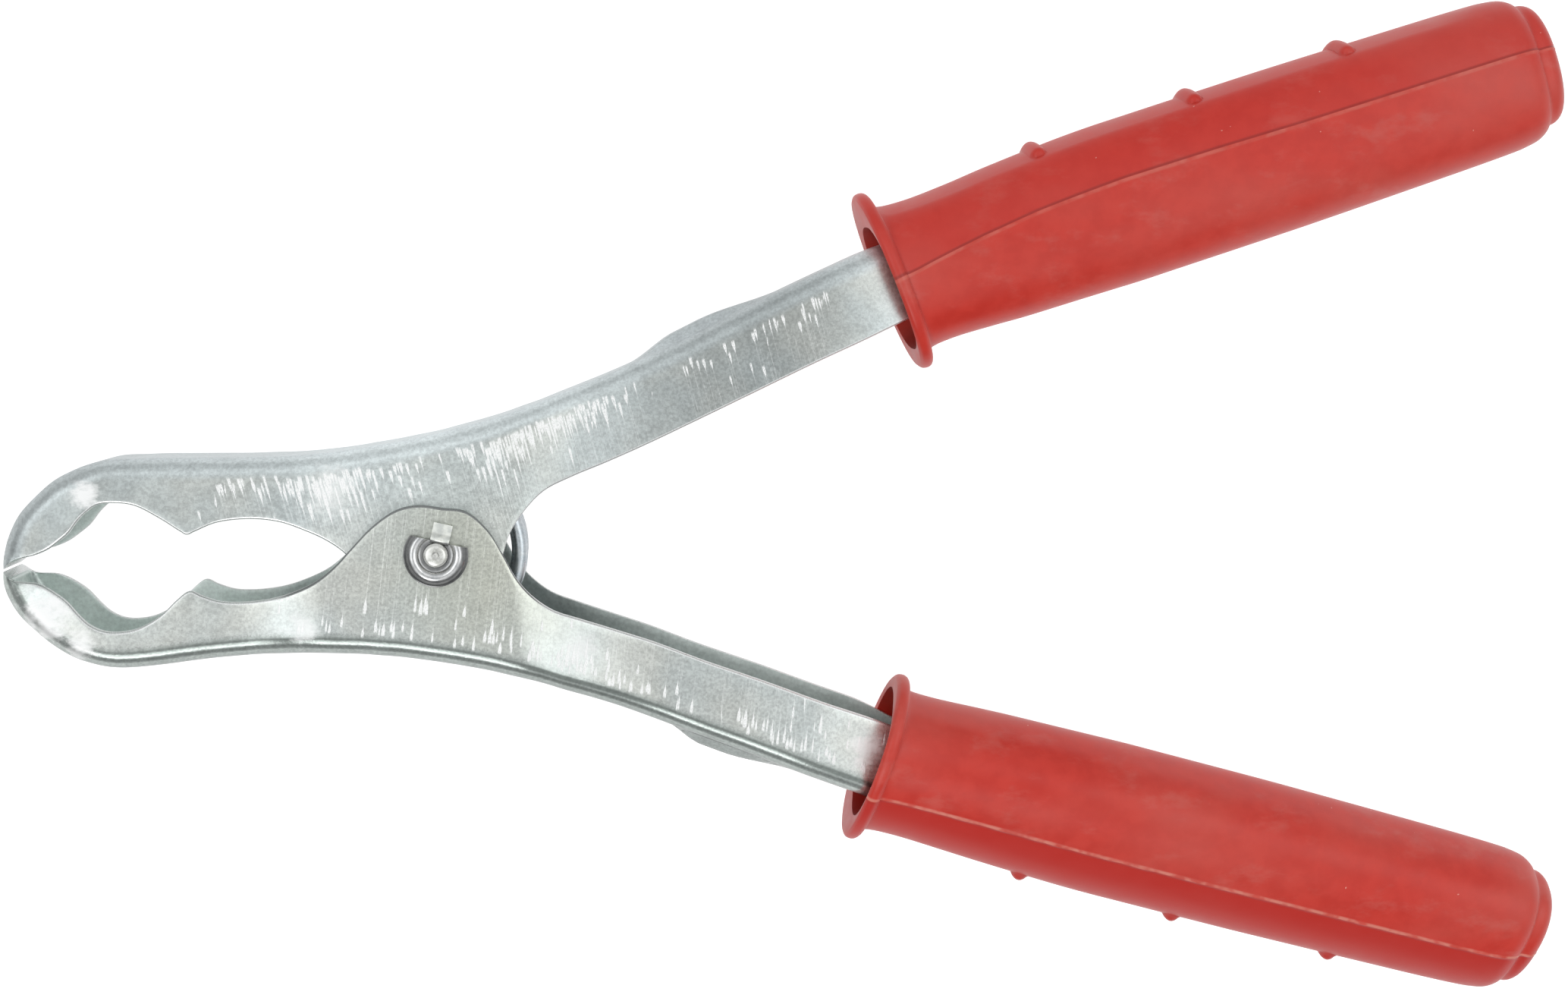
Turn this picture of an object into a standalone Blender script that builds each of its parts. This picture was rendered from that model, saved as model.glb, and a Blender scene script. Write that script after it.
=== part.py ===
"""Sprung clamp pliers: two pressed channel levers on a pin, a torsion spring and two slip-on grips."""
import math

import bmesh
import bpy
from mathutils import Matrix, Vector

MM = 0.001
OBJECT_NAME = "snap_setter_pliers"

# driving dimensions, millimetres unless said otherwise
MID_Z = 12.3            # height of the levers' middle plane over the resting plane
SHEET = 1.2             # pressed steel sheet thickness
BEND_R = 2.4            # outer bend radius between web and wall
EAR_HALF = 10.4         # outside half width of the lower lever round the pin
PIN_R = 1.6
PIN_HOLE_R = 1.95
PIN_HEAD_R = 3.6
PIN_HEAD_T = 1.6
PIN_TOP = 24.8
SLEEVE_R = 2.9
SLEEVE_BORE_R = 1.9
SLEEVE_L = 14.6
CLIP_R = 4.1
CLIP_RING_R = 3.0
CLIP_T = 0.5
CLIP_CHORD = 1.8        # distance of the clip's straight side from the pin axis
TAB_SIZE = (2.5, 2.65, 0.5)
TAB_X = 0.1
TAB_FROM = 1.62         # distance of the tab's near end from the pin axis
CLIP_TURN = -13.0       # degrees, slope of that straight side
WIRE_R = 1.1
COIL_R = 10.9           # wire centre radius
COIL_HALF = 6.1         # wire centre reach either side of the middle plane
COIL_RATE = 28          # segments per turn
BUMP_H = 1.35           # spring seat pressed out of each web
BUMP_HALF_W = 3.4
FAR_RISE = 0.75         # extra height of the lower handle's far wall

# lever rows: web x, web y, free edge x, free edge y, half width
UPPER_ROWS = [
    (-56.4, -1.9, -55.0, -0.6, 7.1), (-56.3, 0.2, -53.6, -0.3, 7.4), (-55.6, 2.6, -51.9, 0.1, 7.7),
    (-54.2, 5.3, -50.3, 0.8, 8.1), (-52.1, 7.6, -48.9, 1.8, 8.4), (-49.7, 9.7, -47.5, 3.0, 8.6),
    (-47.1, 11.1, -46.3, 4.6, 8.8), (-44.7, 12.0, -45.2, 5.7, 8.9), (-42.4, 12.5, -43.7, 6.7, 8.9),
    (-39.6, 12.6, -41.6, 6.9, 8.9), (-36.6, 12.7, -38.9, 6.5, 8.9), (-33.6, 12.7, -35.9, 4.9, 8.9),
    (-31.6, 12.7, -33.3, 3.2, 8.9), (-30.1, 12.7, -32.3, 2.7, 8.9), (-28.6, 12.7, -31.1, 3.2, 8.9),
    (-25.6, 12.7, -28.3, 4.3, 8.9), (-22.1, 12.8, -24.3, 4.7, 8.9), (-18.6, 12.9, -20.5, 4.3, 8.9),
    (-15.1, 13.2, -17.1, 3.1, 8.9), (-11.6, 13.6, -14.2, 1.7, 8.9), (-8.6, 14.1, -11.7, -0.2, 8.9),
    (-5.6, 14.6, -9.0, -3.7, 8.9), (-3.1, 15.1, -5.3, -6.4, 8.9), (-0.1, 15.7, -1.1, -7.2, 8.9),
    (2.9, 16.5, 3.3, -6.5, 8.9), (5.9, 17.3, 6.9, -3.9, 8.9), (8.9, 18.2, 8.6, -0.5, 8.9),
    (11.4, 19.1, 9.5, 2.3, 8.9), (13.7, 19.9, 11.3, 5.2, 8.8), (16.4, 21.0, 14.1, 8.1, 8.5),
    (19.4, 22.2, 17.9, 10.0, 8.1), (23.1, 23.7, 22.6, 11.9, 7.7), (27.4, 25.6, 28.1, 14.3, 7.3),
    (32.9, 28.2, 34.9, 17.5, 7.1), (39.4, 31.5, 42.4, 21.1, 7.1), (45.9, 34.7, 50.3, 24.9, 7.1),
    (52.9, 38.0, 57.5, 28.2, 6.9), (59.1, 40.7, 63.5, 31.1, 6.3), (68.0, 43.5, 70.8, 34.8, 5.3),
    (75.9, 45.7, 78.4, 37.9, 4.9), (100.9, 53.8, 103.3, 46.2, 4.8), (125.2, 61.6, 127.6, 54.2, 4.7)]
LOWER_ROWS = [
    (-56.4, -2.2, -55.0, -3.4, 7.1), (-56.4, -4.1, -53.7, -3.5, 7.4), (-55.7, -5.9, -52.1, -3.6, 7.7),
    (-54.4, -7.9, -50.9, -4.0, 8.1), (-52.4, -9.9, -49.5, -4.8, 8.4), (-50.1, -11.8, -47.9, -6.0, 8.6),
    (-47.5, -13.4, -46.4, -7.7, 8.8), (-45.0, -14.3, -45.0, -9.0, 8.9), (-42.7, -14.8, -43.3, -9.8, 8.9),
    (-40.3, -14.9, -41.3, -10.0, 8.9), (-37.4, -14.7, -38.7, -9.5, 8.9), (-34.6, -14.4, -35.9, -7.9, 8.9),
    (-32.3, -14.1, -33.7, -5.8, 8.9), (-30.6, -13.9, -32.1, -4.7, 8.9), (-28.7, -13.7, -30.4, -5.4, 8.9),
    (-26.1, -13.5, -28.1, -6.1, 8.9), (-23.3, -13.3, -25.1, -6.2, 9.0), (-20.5, -13.2, -21.7, -5.8, 9.4),
    (-17.7, -13.1, -18.7, -4.9, 10.0), (-14.9, -13.1, -15.7, -3.5, 10.4), (-12.1, -13.2, -13.1, -1.4, 10.4),
    (-9.6, -13.3, -10.9, 1.0, 10.4), (-7.5, -13.5, -8.3, 3.7, 10.4), (-5.1, -13.7, -5.3, 5.8, 10.4),
    (-2.1, -14.1, -2.3, 6.5, 10.4), (1.1, -14.6, 0.9, 6.1, 10.4), (3.9, -15.1, 4.0, 5.6, 10.4),
    (6.9, -15.7, 6.8, 3.1, 10.4), (9.3, -16.3, 8.7, -0.1, 10.4), (11.7, -16.9, 10.3, -3.1, 10.3),
    (14.1, -17.6, 12.4, -5.6, 9.9), (16.9, -18.6, 15.3, -7.7, 9.2), (20.3, -19.7, 18.9, -9.0, 8.4),
    (24.3, -21.1, 23.4, -10.5, 7.7), (28.9, -22.9, 29.0, -12.4, 7.2), (34.9, -25.3, 35.4, -14.9, 7.1),
    (41.9, -28.0, 43.8, -17.9, 7.1), (48.9, -30.8, 51.5, -20.8, 7.1), (55.4, -33.3, 58.3, -23.2, 6.5),
    (61.4, -35.5, 64.2, -25.5, 5.9), (68.9, -36.8, 71.3, -28.3, 5.2), (76.1, -38.5, 78.2, -30.9, 4.9),
    (100.9, -45.3, 102.9, -37.9, 4.8), (125.4, -51.8, 127.4, -44.5, 4.7)]
ROW_STEPS = 2
WALL_STEPS = 1
BEND_STEPS = 3
WEB_STEPS = 4
UPPER_BUMP = (25.5, 32.0, 35.0, 47.0)   # x of start, steep top, flat end, end of the taper
LOWER_BUMP = (30.2, 35.0, 38.0, 50.0)

# grips: axis point, axis angle, roll about the axis, tilt of the flange face, stations along the axis
UPPER_GRIP = {"centre": (97.9, 48.47), "angle": 18.2, "roll": 2.0, "tilt": 3.9, "sag": 0.45,
              "flatten": 1.0, "reach": 0.0,
              "ribs": (-14.7, 8.0, 30.2)}
LOWER_GRIP = {"centre": (97.55, -40.15), "angle": -15.4, "roll": -30.0, "tilt": -2.0, "sag": -0.25,
              "flatten": 0.975, "reach": 1.2,
              "ribs": (-15.6, 7.0, 30.4)}
GRIP_AROUND = 32
GRIP_OUTER = [  # distance along the axis, half height, half depth, roundness exponent
    (-39.2, 12.1, 9.3, 2.2), (-38.8, 12.6, 9.75, 2.2), (-38.0, 12.7, 9.8, 2.2), (-37.4, 12.2, 9.4, 2.2),
    (-37.0, 10.4, 8.9, 2.3), (-33.0, 9.95, 8.7, 2.4), (-27.0, 10.2, 8.7, 2.5), (-21.0, 10.6, 8.7, 2.5),
    (-8.0, 11.1, 8.8, 2.5), (0.0, 11.15, 8.8, 2.5), (14.0, 11.15, 8.8, 2.5), (22.0, 11.1, 8.7, 2.5),
    (36.0, 10.9, 8.6, 2.5), (45.0, 10.75, 8.5, 2.5), (51.0, 10.55, 8.25, 2.5), (53.3, 10.2, 7.9, 2.5),
    (54.7, 9.5, 7.2, 2.5), (55.3, 8.7, 6.5, 2.5), (56.6, 8.5, 6.3, 2.5), (57.6, 7.8, 5.7, 2.4),
    (58.3, 6.2, 4.5, 2.3), (58.7, 3.6, 2.6, 2.2)]
GRIP_BORE = [   # the same, and how far the bore lies off centre, away from the outer side
    (40.0, 6.0, 5.9, 2.2, 0.0), (38.0, 6.6, 6.5, 2.2, 0.0), (0.0, 6.9, 6.8, 2.2, 0.0),
    (-24.0, 7.3, 7.2, 2.3, 0.0), (-29.0, 7.7, 7.4, 2.4, 0.1), (-33.5, 8.2, 7.8, 2.5, 0.4),
    (-37.0, 8.7, 8.1, 2.6, 0.75), (-39.0, 8.9, 8.3, 2.6, 0.85)]
RIB_H = 0.95
RIB_SHAPE = ((-1.2, 0.0), (-0.75, 0.65), (0.0, 1.0), (0.75, 0.65), (1.2, 0.0))
RIB_SPREAD = 44.0       # degrees either side of the outer face


def clear_scene():
    for obj in list(bpy.data.objects):
        bpy.data.objects.remove(obj, do_unlink=True)


def make_collection(name):
    collection = bpy.data.collections.new(name)
    bpy.context.scene.collection.children.link(collection)
    return collection


def make_material(name, colour, metallic, roughness):
    material = bpy.data.materials.new(name)
    material.use_nodes = True
    shader = material.node_tree.nodes["Principled BSDF"]
    shader.inputs["Base Color"].default_value = (*colour, 1.0)
    shader.inputs["Metallic"].default_value = metallic
    shader.inputs["Roughness"].default_value = roughness
    return material


def add_object(name, bm, collection, material, smooth=True):
    bmesh.ops.recalc_face_normals(bm, faces=bm.faces)
    mesh = bpy.data.meshes.new(name)
    bm.to_mesh(mesh)
    bm.free()
    for polygon in mesh.polygons:
        polygon.use_smooth = smooth
    obj = bpy.data.objects.new(name, mesh)
    obj.data.materials.append(material)
    collection.objects.link(obj)
    return obj


def spline(rows, steps):
    """Catmull-Rom through the rows, with the given number of steps between neighbours."""
    out = []
    last = len(rows) - 1
    for i in range(last):
        a, b = rows[max(i - 1, 0)], rows[i]
        c, d = rows[i + 1], rows[min(i + 2, last)]
        for k in range(steps):
            t = k / steps
            out.append(tuple(
                0.5 * (2 * q + (r - p) * t + (2 * p - 5 * q + 4 * r - s) * t * t
                       + (3 * q - p - 3 * r + s) * t ** 3)
                for p, q, r, s in zip(a, b, c, d)))
    out.append(tuple(float(v) for v in rows[last]))
    return out


def smooth_step(t):
    t = min(max(t, 0.0), 1.0)
    return t * t * (3 - 2 * t)


def bump_at(x, z, limits):
    start, top, flat, end = limits
    along = smooth_step((x - start) / (top - start)) * (1 - smooth_step((x - flat) / (end - flat)))
    across = 1 - smooth_step((abs(z) - BUMP_HALF_W) / 1.6)
    return BUMP_H * along * across


def lever_section(row, bump, inset, rise_on):
    """One skin of a cross-section, from the far free edge over the web to the near one."""
    wx, wy, ex, ey, half = row
    down = Vector((ex - wx, ey - wy))
    depth = down.length
    down /= depth
    r = min(BEND_R, 0.85 * depth)
    wall, bend = half - inset, max(r - inset, 0.3)
    side = []
    for k in range(WALL_STEPS + 1):
        side.append((depth + (r - depth) * k / WALL_STEPS, wall))
    rise = FAR_RISE * rise_on * smooth_step((ex - 6.0) / 5.0) * (1 - smooth_step((ex - 56.0) / 9.0))
    for k in range(1, BEND_STEPS + 1):
        a = 0.5 * math.pi * k / BEND_STEPS
        side.append((inset + bend - bend * math.sin(a), wall - bend + bend * math.cos(a)))
    points = [(d, -z) for d, z in side]
    points[0] = (depth + rise, -wall)
    for k in range(1, WEB_STEPS):
        points.append((inset, (wall - bend) * (2 * k / WEB_STEPS - 1)))
    points += [(d, z) for d, z in reversed(side)]
    out = []
    for d, z in points:
        lift = bump_at(wx, z, bump) if d < inset + 0.01 else 0.0
        x = wx + down.x * (d - lift)
        y = wy + down.y * (d - lift)
        out.append(Vector((x, y, MID_Z + z)) * MM)
    return out


def make_lever(name, rows, bump, rise_on, collection, cutters, material):
    """Channel lofted as a closed sheet section: outer skin, free edge, inner skin, free edge."""
    bm = bmesh.new()
    rings = []
    for row in spline(rows, ROW_STEPS):
        outer = lever_section(row, bump, 0.0, rise_on)
        inner = lever_section(row, bump, SHEET, rise_on)
        rings.append([bm.verts.new(p) for p in outer + inner[::-1]])
    count = len(rings[0])
    for a, b in zip(rings, rings[1:]):
        for k in range(count):
            n = (k + 1) % count
            bm.faces.new((a[k], a[n], b[n], b[k]))
    for ring in (rings[0], rings[-1]):
        for k in range(count // 2 - 1):
            bm.faces.new((ring[k], ring[k + 1], ring[count - 2 - k], ring[count - 1 - k]))
    obj = add_object(name, bm, collection, material)
    cut = obj.modifiers.new("pin hole", "BOOLEAN")
    cut.operation = "DIFFERENCE"
    cut.solver = "EXACT"
    cut.object = cutters["pin_hole"]
    return obj


def turned(name, profile, closed, collection, material, steps=32):
    """Piece turned about the pin axis from (radius, height) points, top to bottom, with a Screw."""
    bm = bmesh.new()
    verts = [bm.verts.new((radius * MM, 0, height * MM)) for radius, height in profile]
    for a, b in zip(verts, verts[1:] + (verts[:1] if closed else [])):
        bm.edges.new((a, b))
    mesh = bpy.data.meshes.new(name)
    bm.to_mesh(mesh)
    bm.free()
    obj = bpy.data.objects.new(name, mesh)
    obj.data.materials.append(material)
    collection.objects.link(obj)
    screw = obj.modifiers.new("turn", "SCREW")
    screw.axis = "Z"
    screw.steps = screw.render_steps = steps
    screw.use_merge_vertices = True
    screw.merge_threshold = 0.00001
    screw.use_smooth_shade = True
    return obj


def make_clip(collection, cutters, material):
    """Dished disc turned about the pin, its upper side cut away straight to leave a half-moon."""
    seat = MID_Z + EAR_HALF + 0.3
    low = [(1.9, 0.3), (2.3, 0.35), (CLIP_RING_R, 0.7), (3.5, 0.25), (CLIP_R, 0.0)]
    high = [(r, rise + CLIP_T) for r, rise in low]
    profile = [(r, seat + rise) for r, rise in high + low[::-1]]
    obj = turned("retaining_clip", profile, True, collection, material, 40)
    cut = obj.modifiers.new("straight side", "BOOLEAN")
    cut.operation = "DIFFERENCE"
    cut.solver = "EXACT"
    cut.object = cutters["clip_side"]
    join = obj.modifiers.new("tab", "BOOLEAN")
    join.operation = "UNION"
    join.solver = "EXACT"
    join.object = cutters["clip_tab"]
    return obj


def leg_points():
    """Wire centre line: upper leg, coil counted round the pin, lower leg."""
    start = math.radians(113.0)
    turns = 4 * 2 * math.pi + math.radians(256.0) - start
    count = int(turns / (2 * math.pi) * COIL_RATE)
    upper = [(36.5, 26.6, 0.0), (32.0, 24.75, -0.2), (25.0, 21.9, -1.2), (17.0, 18.65, -3.0),
             (9.0, 15.4, -4.7), (2.0, 12.6, -5.4)]
    lower = [(2.5, -11.75, 5.4), (9.0, -13.3, 4.7), (17.0, -15.6, 3.0), (25.0, -18.6, 1.2),
             (34.0, -21.9, 0.2), (40.0, -24.2, 0.0)]
    coil = []
    for k in range(count + 1):
        a = start + turns * k / count
        z = -COIL_HALF + 2 * COIL_HALF * k / count
        coil.append((COIL_R * math.cos(a), COIL_R * math.sin(a), z))
    return upper + coil + lower


def make_spring(collection, material):
    curve = bpy.data.curves.new("torsion_spring", "CURVE")
    curve.dimensions = "3D"
    curve.bevel_depth = WIRE_R * MM
    curve.bevel_resolution = 1
    curve.use_fill_caps = True
    path = curve.splines.new("POLY")
    points = leg_points()
    path.points.add(len(points) - 1)
    for slot, (x, y, z) in zip(path.points, points):
        slot.co = (x * MM, y * MM, (MID_Z + z) * MM, 1.0)
    holder = bpy.data.objects.new("spring_path", curve)
    collection.objects.link(holder)
    bpy.context.view_layer.update()
    mesh = bpy.data.meshes.new_from_object(holder.evaluated_get(bpy.context.evaluated_depsgraph_get()))
    bpy.data.objects.remove(holder, do_unlink=True)
    bm = bmesh.new()
    bm.from_mesh(mesh)
    bpy.data.meshes.remove(mesh)
    bmesh.ops.remove_doubles(bm, verts=bm.verts, dist=1e-6)
    return add_object("torsion_spring", bm, collection, material)


def grip_point(spec, s, a, b, power, aside, angle, tilt, outward):
    """One point of a grip ring; angle 0 is the outer side of the hand grip."""
    ca, sa = math.cos(angle), math.sin(angle)
    scale = (abs(ca) ** power + abs(sa) ** power) ** (-1.0 / power)
    n, z = a * scale * ca * spec["flatten"] - aside, b * scale * sa
    roll = math.radians(spec["roll"])
    n, z = n * math.cos(roll) - z * math.sin(roll), n * math.sin(roll) + z * math.cos(roll)
    s -= n * math.tan(tilt) + spec["reach"] * (1 - smooth_step((s + 38.0) / 22.0))
    n = n * outward - spec["sag"] * (1 - smooth_step((s + 34.0) / 26.0))
    axis = math.radians(spec["angle"])
    cx, cy = spec["centre"]
    x = cx + s * math.cos(axis) - n * math.sin(axis)
    y = cy + s * math.sin(axis) + n * math.cos(axis)
    return Vector((x, y, MID_Z + z)) * MM


def grip_rings(spec):
    """Bore rings from the blind end out to the mouth, then the outside with its ribs worked in."""
    rings = [(*row, 0.0) for row in GRIP_BORE]
    outer = [(s, a, b, power, 0.0, 0.0) for s, a, b, power in GRIP_OUTER
             if all(abs(s - rib) > 1.6 for rib in spec["ribs"])]
    for rib in spec["ribs"]:
        for offset, lift in RIB_SHAPE:
            s = rib + offset
            low = max(row for row in GRIP_OUTER if row[0] <= s)
            high = min(row for row in GRIP_OUTER if row[0] > s)
            t = (s - low[0]) / (high[0] - low[0])
            outer.append((s, *(p + (q - p) * t for p, q in zip(low[1:], high[1:])), 0.0, lift))
    return rings + sorted(outer)


def make_grip(name, spec, outward, collection, material):
    bm = bmesh.new()
    rings = []
    full_tilt = math.radians(spec["tilt"]) * outward
    for s, a, b, power, aside, rise in grip_rings(spec):
        fade = 1 - smooth_step((s + 36.0) / 14.0)
        ring = []
        for k in range(GRIP_AROUND):
            angle = 2 * math.pi * k / GRIP_AROUND
            off = math.degrees(abs((angle + math.pi) % (2 * math.pi) - math.pi))
            lift = RIB_H * rise * (1 - smooth_step((off - RIB_SPREAD + 6) / 12.0))
            ring.append(bm.verts.new(grip_point(spec, s, a + lift, b + lift * 0.9, power, aside, angle,
                                                full_tilt * fade, outward)))
        rings.append(ring)
    for a, b in zip(rings, rings[1:]):
        for k in range(GRIP_AROUND):
            n = (k + 1) % GRIP_AROUND
            bm.faces.new((a[k], a[n], b[n], b[k]))
    for ring in (rings[0], rings[-1]):
        centre = sum((v.co for v in ring), Vector()) / len(ring)
        hub = bm.verts.new(centre)
        for k in range(GRIP_AROUND):
            bm.faces.new((ring[k], ring[(k + 1) % GRIP_AROUND], hub))
    return add_object(name, bm, collection, material)


def make_cutters(collection):
    turn = Matrix.Rotation(math.radians(CLIP_TURN), 3, "Z")
    shapes = {}
    bm = bmesh.new()
    bmesh.ops.create_cone(bm, cap_ends=True, segments=32, radius1=PIN_HOLE_R * MM, radius2=PIN_HOLE_R * MM,
                          depth=32 * MM)
    bmesh.ops.translate(bm, verts=bm.verts, vec=(0, 0, MID_Z * MM))
    shapes["pin_hole"] = bm
    bm = bmesh.new()
    bmesh.ops.create_cube(bm, size=10 * MM)
    bmesh.ops.translate(bm, verts=bm.verts, vec=(0, (CLIP_CHORD + 5) * MM, (MID_Z + EAR_HALF + 2) * MM))
    bmesh.ops.rotate(bm, verts=bm.verts, cent=(0, 0, 0), matrix=turn)
    shapes["clip_side"] = bm
    bm = bmesh.new()
    bmesh.ops.create_cube(bm, size=1.0)
    bmesh.ops.scale(bm, verts=bm.verts, vec=Vector(TAB_SIZE) * MM)
    bmesh.ops.translate(bm, verts=bm.verts, vec=Vector((TAB_X, TAB_FROM + TAB_SIZE[1] / 2,
                                                        MID_Z + EAR_HALF + 0.35 + TAB_SIZE[2] / 2)) * MM)
    bmesh.ops.rotate(bm, verts=bm.verts, cent=(0, 0, 0), matrix=turn)
    shapes["clip_tab"] = bm
    out = {}
    for name, bm in shapes.items():
        mesh = bpy.data.meshes.new(name)
        bm.to_mesh(mesh)
        bm.free()
        obj = bpy.data.objects.new(name, mesh)
        collection.objects.link(obj)
        obj.hide_render = True
        obj.display_type = "WIRE"
        out[name] = obj
    return out


def main():
    clear_scene()
    parts = make_collection(OBJECT_NAME)
    cutters = make_cutters(make_collection("cutters"))
    zinc = make_material("zinc_plate", (0.62, 0.64, 0.63), 1.0, 0.42)
    bright = make_material("bright_steel", (0.72, 0.72, 0.72), 1.0, 0.25)
    wire = make_material("spring_wire", (0.50, 0.52, 0.54), 1.0, 0.35)
    red = make_material("red_sleeve", (0.58, 0.055, 0.04), 0.0, 0.55)
    make_lever("upper_channel", UPPER_ROWS, UPPER_BUMP, 0, parts, cutters, zinc)
    make_lever("lower_channel", LOWER_ROWS, LOWER_BUMP, 1, parts, cutters, zinc.copy())
    turned("pivot_pin", [(0, PIN_TOP), (1.1, PIN_TOP - 0.05), (PIN_R, PIN_TOP - 0.5), (PIN_R, PIN_HEAD_T),
                          (PIN_HEAD_R - 0.3, PIN_HEAD_T), (PIN_HEAD_R, PIN_HEAD_T - 0.3), (PIN_HEAD_R, 0.4),
                          (PIN_HEAD_R - 0.4, 0.0), (0, 0.0)], False, parts, bright)
    low, high = MID_Z - SLEEVE_L / 2, MID_Z + SLEEVE_L / 2
    turned("spacer_sleeve", [(SLEEVE_BORE_R, high), (SLEEVE_R, high), (SLEEVE_R, low), (SLEEVE_BORE_R, low)],
           True, parts, bright.copy())
    make_clip(parts, cutters, bright.copy())
    make_spring(parts, wire)
    make_grip("upper_grip", UPPER_GRIP, 1.0, parts, red)
    make_grip("lower_grip", LOWER_GRIP, -1.0, parts, red.copy())


main()
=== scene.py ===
"""Sprung clamp pliers, in the order they are put together. Lengths are millimetres until a mesh is made."""
import math

import bmesh
import bpy
from mathutils import Euler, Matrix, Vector, noise


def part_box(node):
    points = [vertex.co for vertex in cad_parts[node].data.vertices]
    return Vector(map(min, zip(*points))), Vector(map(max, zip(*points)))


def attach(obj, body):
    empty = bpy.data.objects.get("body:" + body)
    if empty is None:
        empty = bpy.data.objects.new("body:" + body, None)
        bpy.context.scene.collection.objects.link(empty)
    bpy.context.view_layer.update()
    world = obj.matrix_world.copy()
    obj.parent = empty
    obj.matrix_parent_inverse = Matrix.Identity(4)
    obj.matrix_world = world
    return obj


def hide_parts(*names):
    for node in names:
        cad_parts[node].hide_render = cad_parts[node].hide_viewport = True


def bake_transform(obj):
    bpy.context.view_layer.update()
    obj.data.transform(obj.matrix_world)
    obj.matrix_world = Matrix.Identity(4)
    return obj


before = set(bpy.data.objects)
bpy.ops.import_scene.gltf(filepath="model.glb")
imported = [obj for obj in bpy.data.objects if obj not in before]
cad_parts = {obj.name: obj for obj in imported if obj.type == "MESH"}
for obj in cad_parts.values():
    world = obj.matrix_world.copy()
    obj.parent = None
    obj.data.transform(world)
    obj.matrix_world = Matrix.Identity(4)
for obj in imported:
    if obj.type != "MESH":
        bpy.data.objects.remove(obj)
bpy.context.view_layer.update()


# ---------------------------------------------------------------------------------------------
# The two levers. Each is one strip of zinc-plated steel, blanked with its jaw and ears and then
# folded into a channel. The lower one is wider at the pivot, so its ears hold the upper one's.
# ---------------------------------------------------------------------------------------------
MM = 0.001
SHEET = 1.2
BEND_R = 2.4
ROLL_OVER = 0.32        # rounded side of the blanked edge, left by the punch
BURR = 0.12             # the other side of that edge
SEAT_HEIGHT = 1.35      # seat for the spring's leg, pressed out of each web
SEAT_HALF_WIDTH = 3.4
SEAT_FLANK = 1.6        # width of the slope beside it
FAR_RISE = 0.75         # the lower handle's far wall is that much the deeper one
FAR_RISE_X = (6.0, 11.0, 56.0, 65.0)    # x where that starts, is full, starts to sink and ends
PIN_HOLE_R = 1.95
PIN_HOLE_SIDES = 64
channel_low, channel_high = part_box("upper_channel")
MID_Z = (channel_low.z + channel_high.z) / 2 / MM

# one row for each place along a lever: web x and y, free edge x and y, half the width
UPPER_ROWS = [
    (-56.4, -1.9, -55.0, -0.6, 7.1), (-56.3, 0.2, -53.6, -0.3, 7.4), (-55.6, 2.6, -51.9, 0.1, 7.7),
    (-54.2, 5.3, -50.3, 0.8, 8.1), (-52.1, 7.6, -48.9, 1.8, 8.4), (-49.7, 9.7, -47.5, 3.0, 8.6),
    (-47.1, 11.1, -46.3, 4.6, 8.8), (-44.7, 12.0, -45.2, 5.7, 8.9), (-42.4, 12.5, -43.7, 6.7, 8.9),
    (-39.6, 12.6, -41.6, 6.9, 8.9), (-36.6, 12.7, -38.9, 6.5, 8.9), (-33.6, 12.7, -35.9, 4.9, 8.9),
    (-31.6, 12.7, -33.3, 3.2, 8.9), (-30.1, 12.7, -32.3, 2.7, 8.9), (-28.6, 12.7, -31.1, 3.2, 8.9),
    (-25.6, 12.7, -28.3, 4.3, 8.9), (-22.1, 12.8, -24.3, 4.7, 8.9), (-18.6, 12.9, -20.5, 4.3, 8.9),
    (-15.1, 13.2, -17.1, 3.1, 8.9), (-11.6, 13.6, -14.2, 1.7, 8.9), (-8.6, 14.1, -11.7, -0.2, 8.9),
    (-5.6, 14.6, -9.0, -3.7, 8.9), (-3.1, 15.1, -5.3, -6.4, 8.9), (-0.1, 15.7, -1.1, -7.2, 8.9),
    (2.9, 16.5, 3.3, -6.5, 8.9), (5.9, 17.3, 6.9, -3.9, 8.9), (8.9, 18.2, 8.6, -0.5, 8.9),
    (11.4, 19.1, 9.5, 2.3, 8.9), (13.7, 19.9, 11.3, 5.2, 8.8), (16.4, 21.0, 14.1, 8.1, 8.5),
    (19.4, 22.2, 17.9, 10.0, 8.1), (23.1, 23.7, 22.6, 11.9, 7.7), (27.4, 25.6, 28.1, 14.3, 7.3),
    (32.9, 28.2, 34.9, 17.5, 7.1), (39.4, 31.5, 42.4, 21.1, 7.1), (45.9, 34.7, 50.3, 24.9, 7.1),
    (52.9, 38.0, 57.5, 28.2, 6.9), (59.1, 40.7, 63.5, 31.1, 6.3), (68.0, 43.5, 70.8, 34.8, 5.3),
    (75.9, 45.7, 78.4, 37.9, 4.9), (100.9, 53.8, 103.3, 46.2, 4.8), (125.2, 61.6, 127.6, 54.2, 4.7)]
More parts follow.
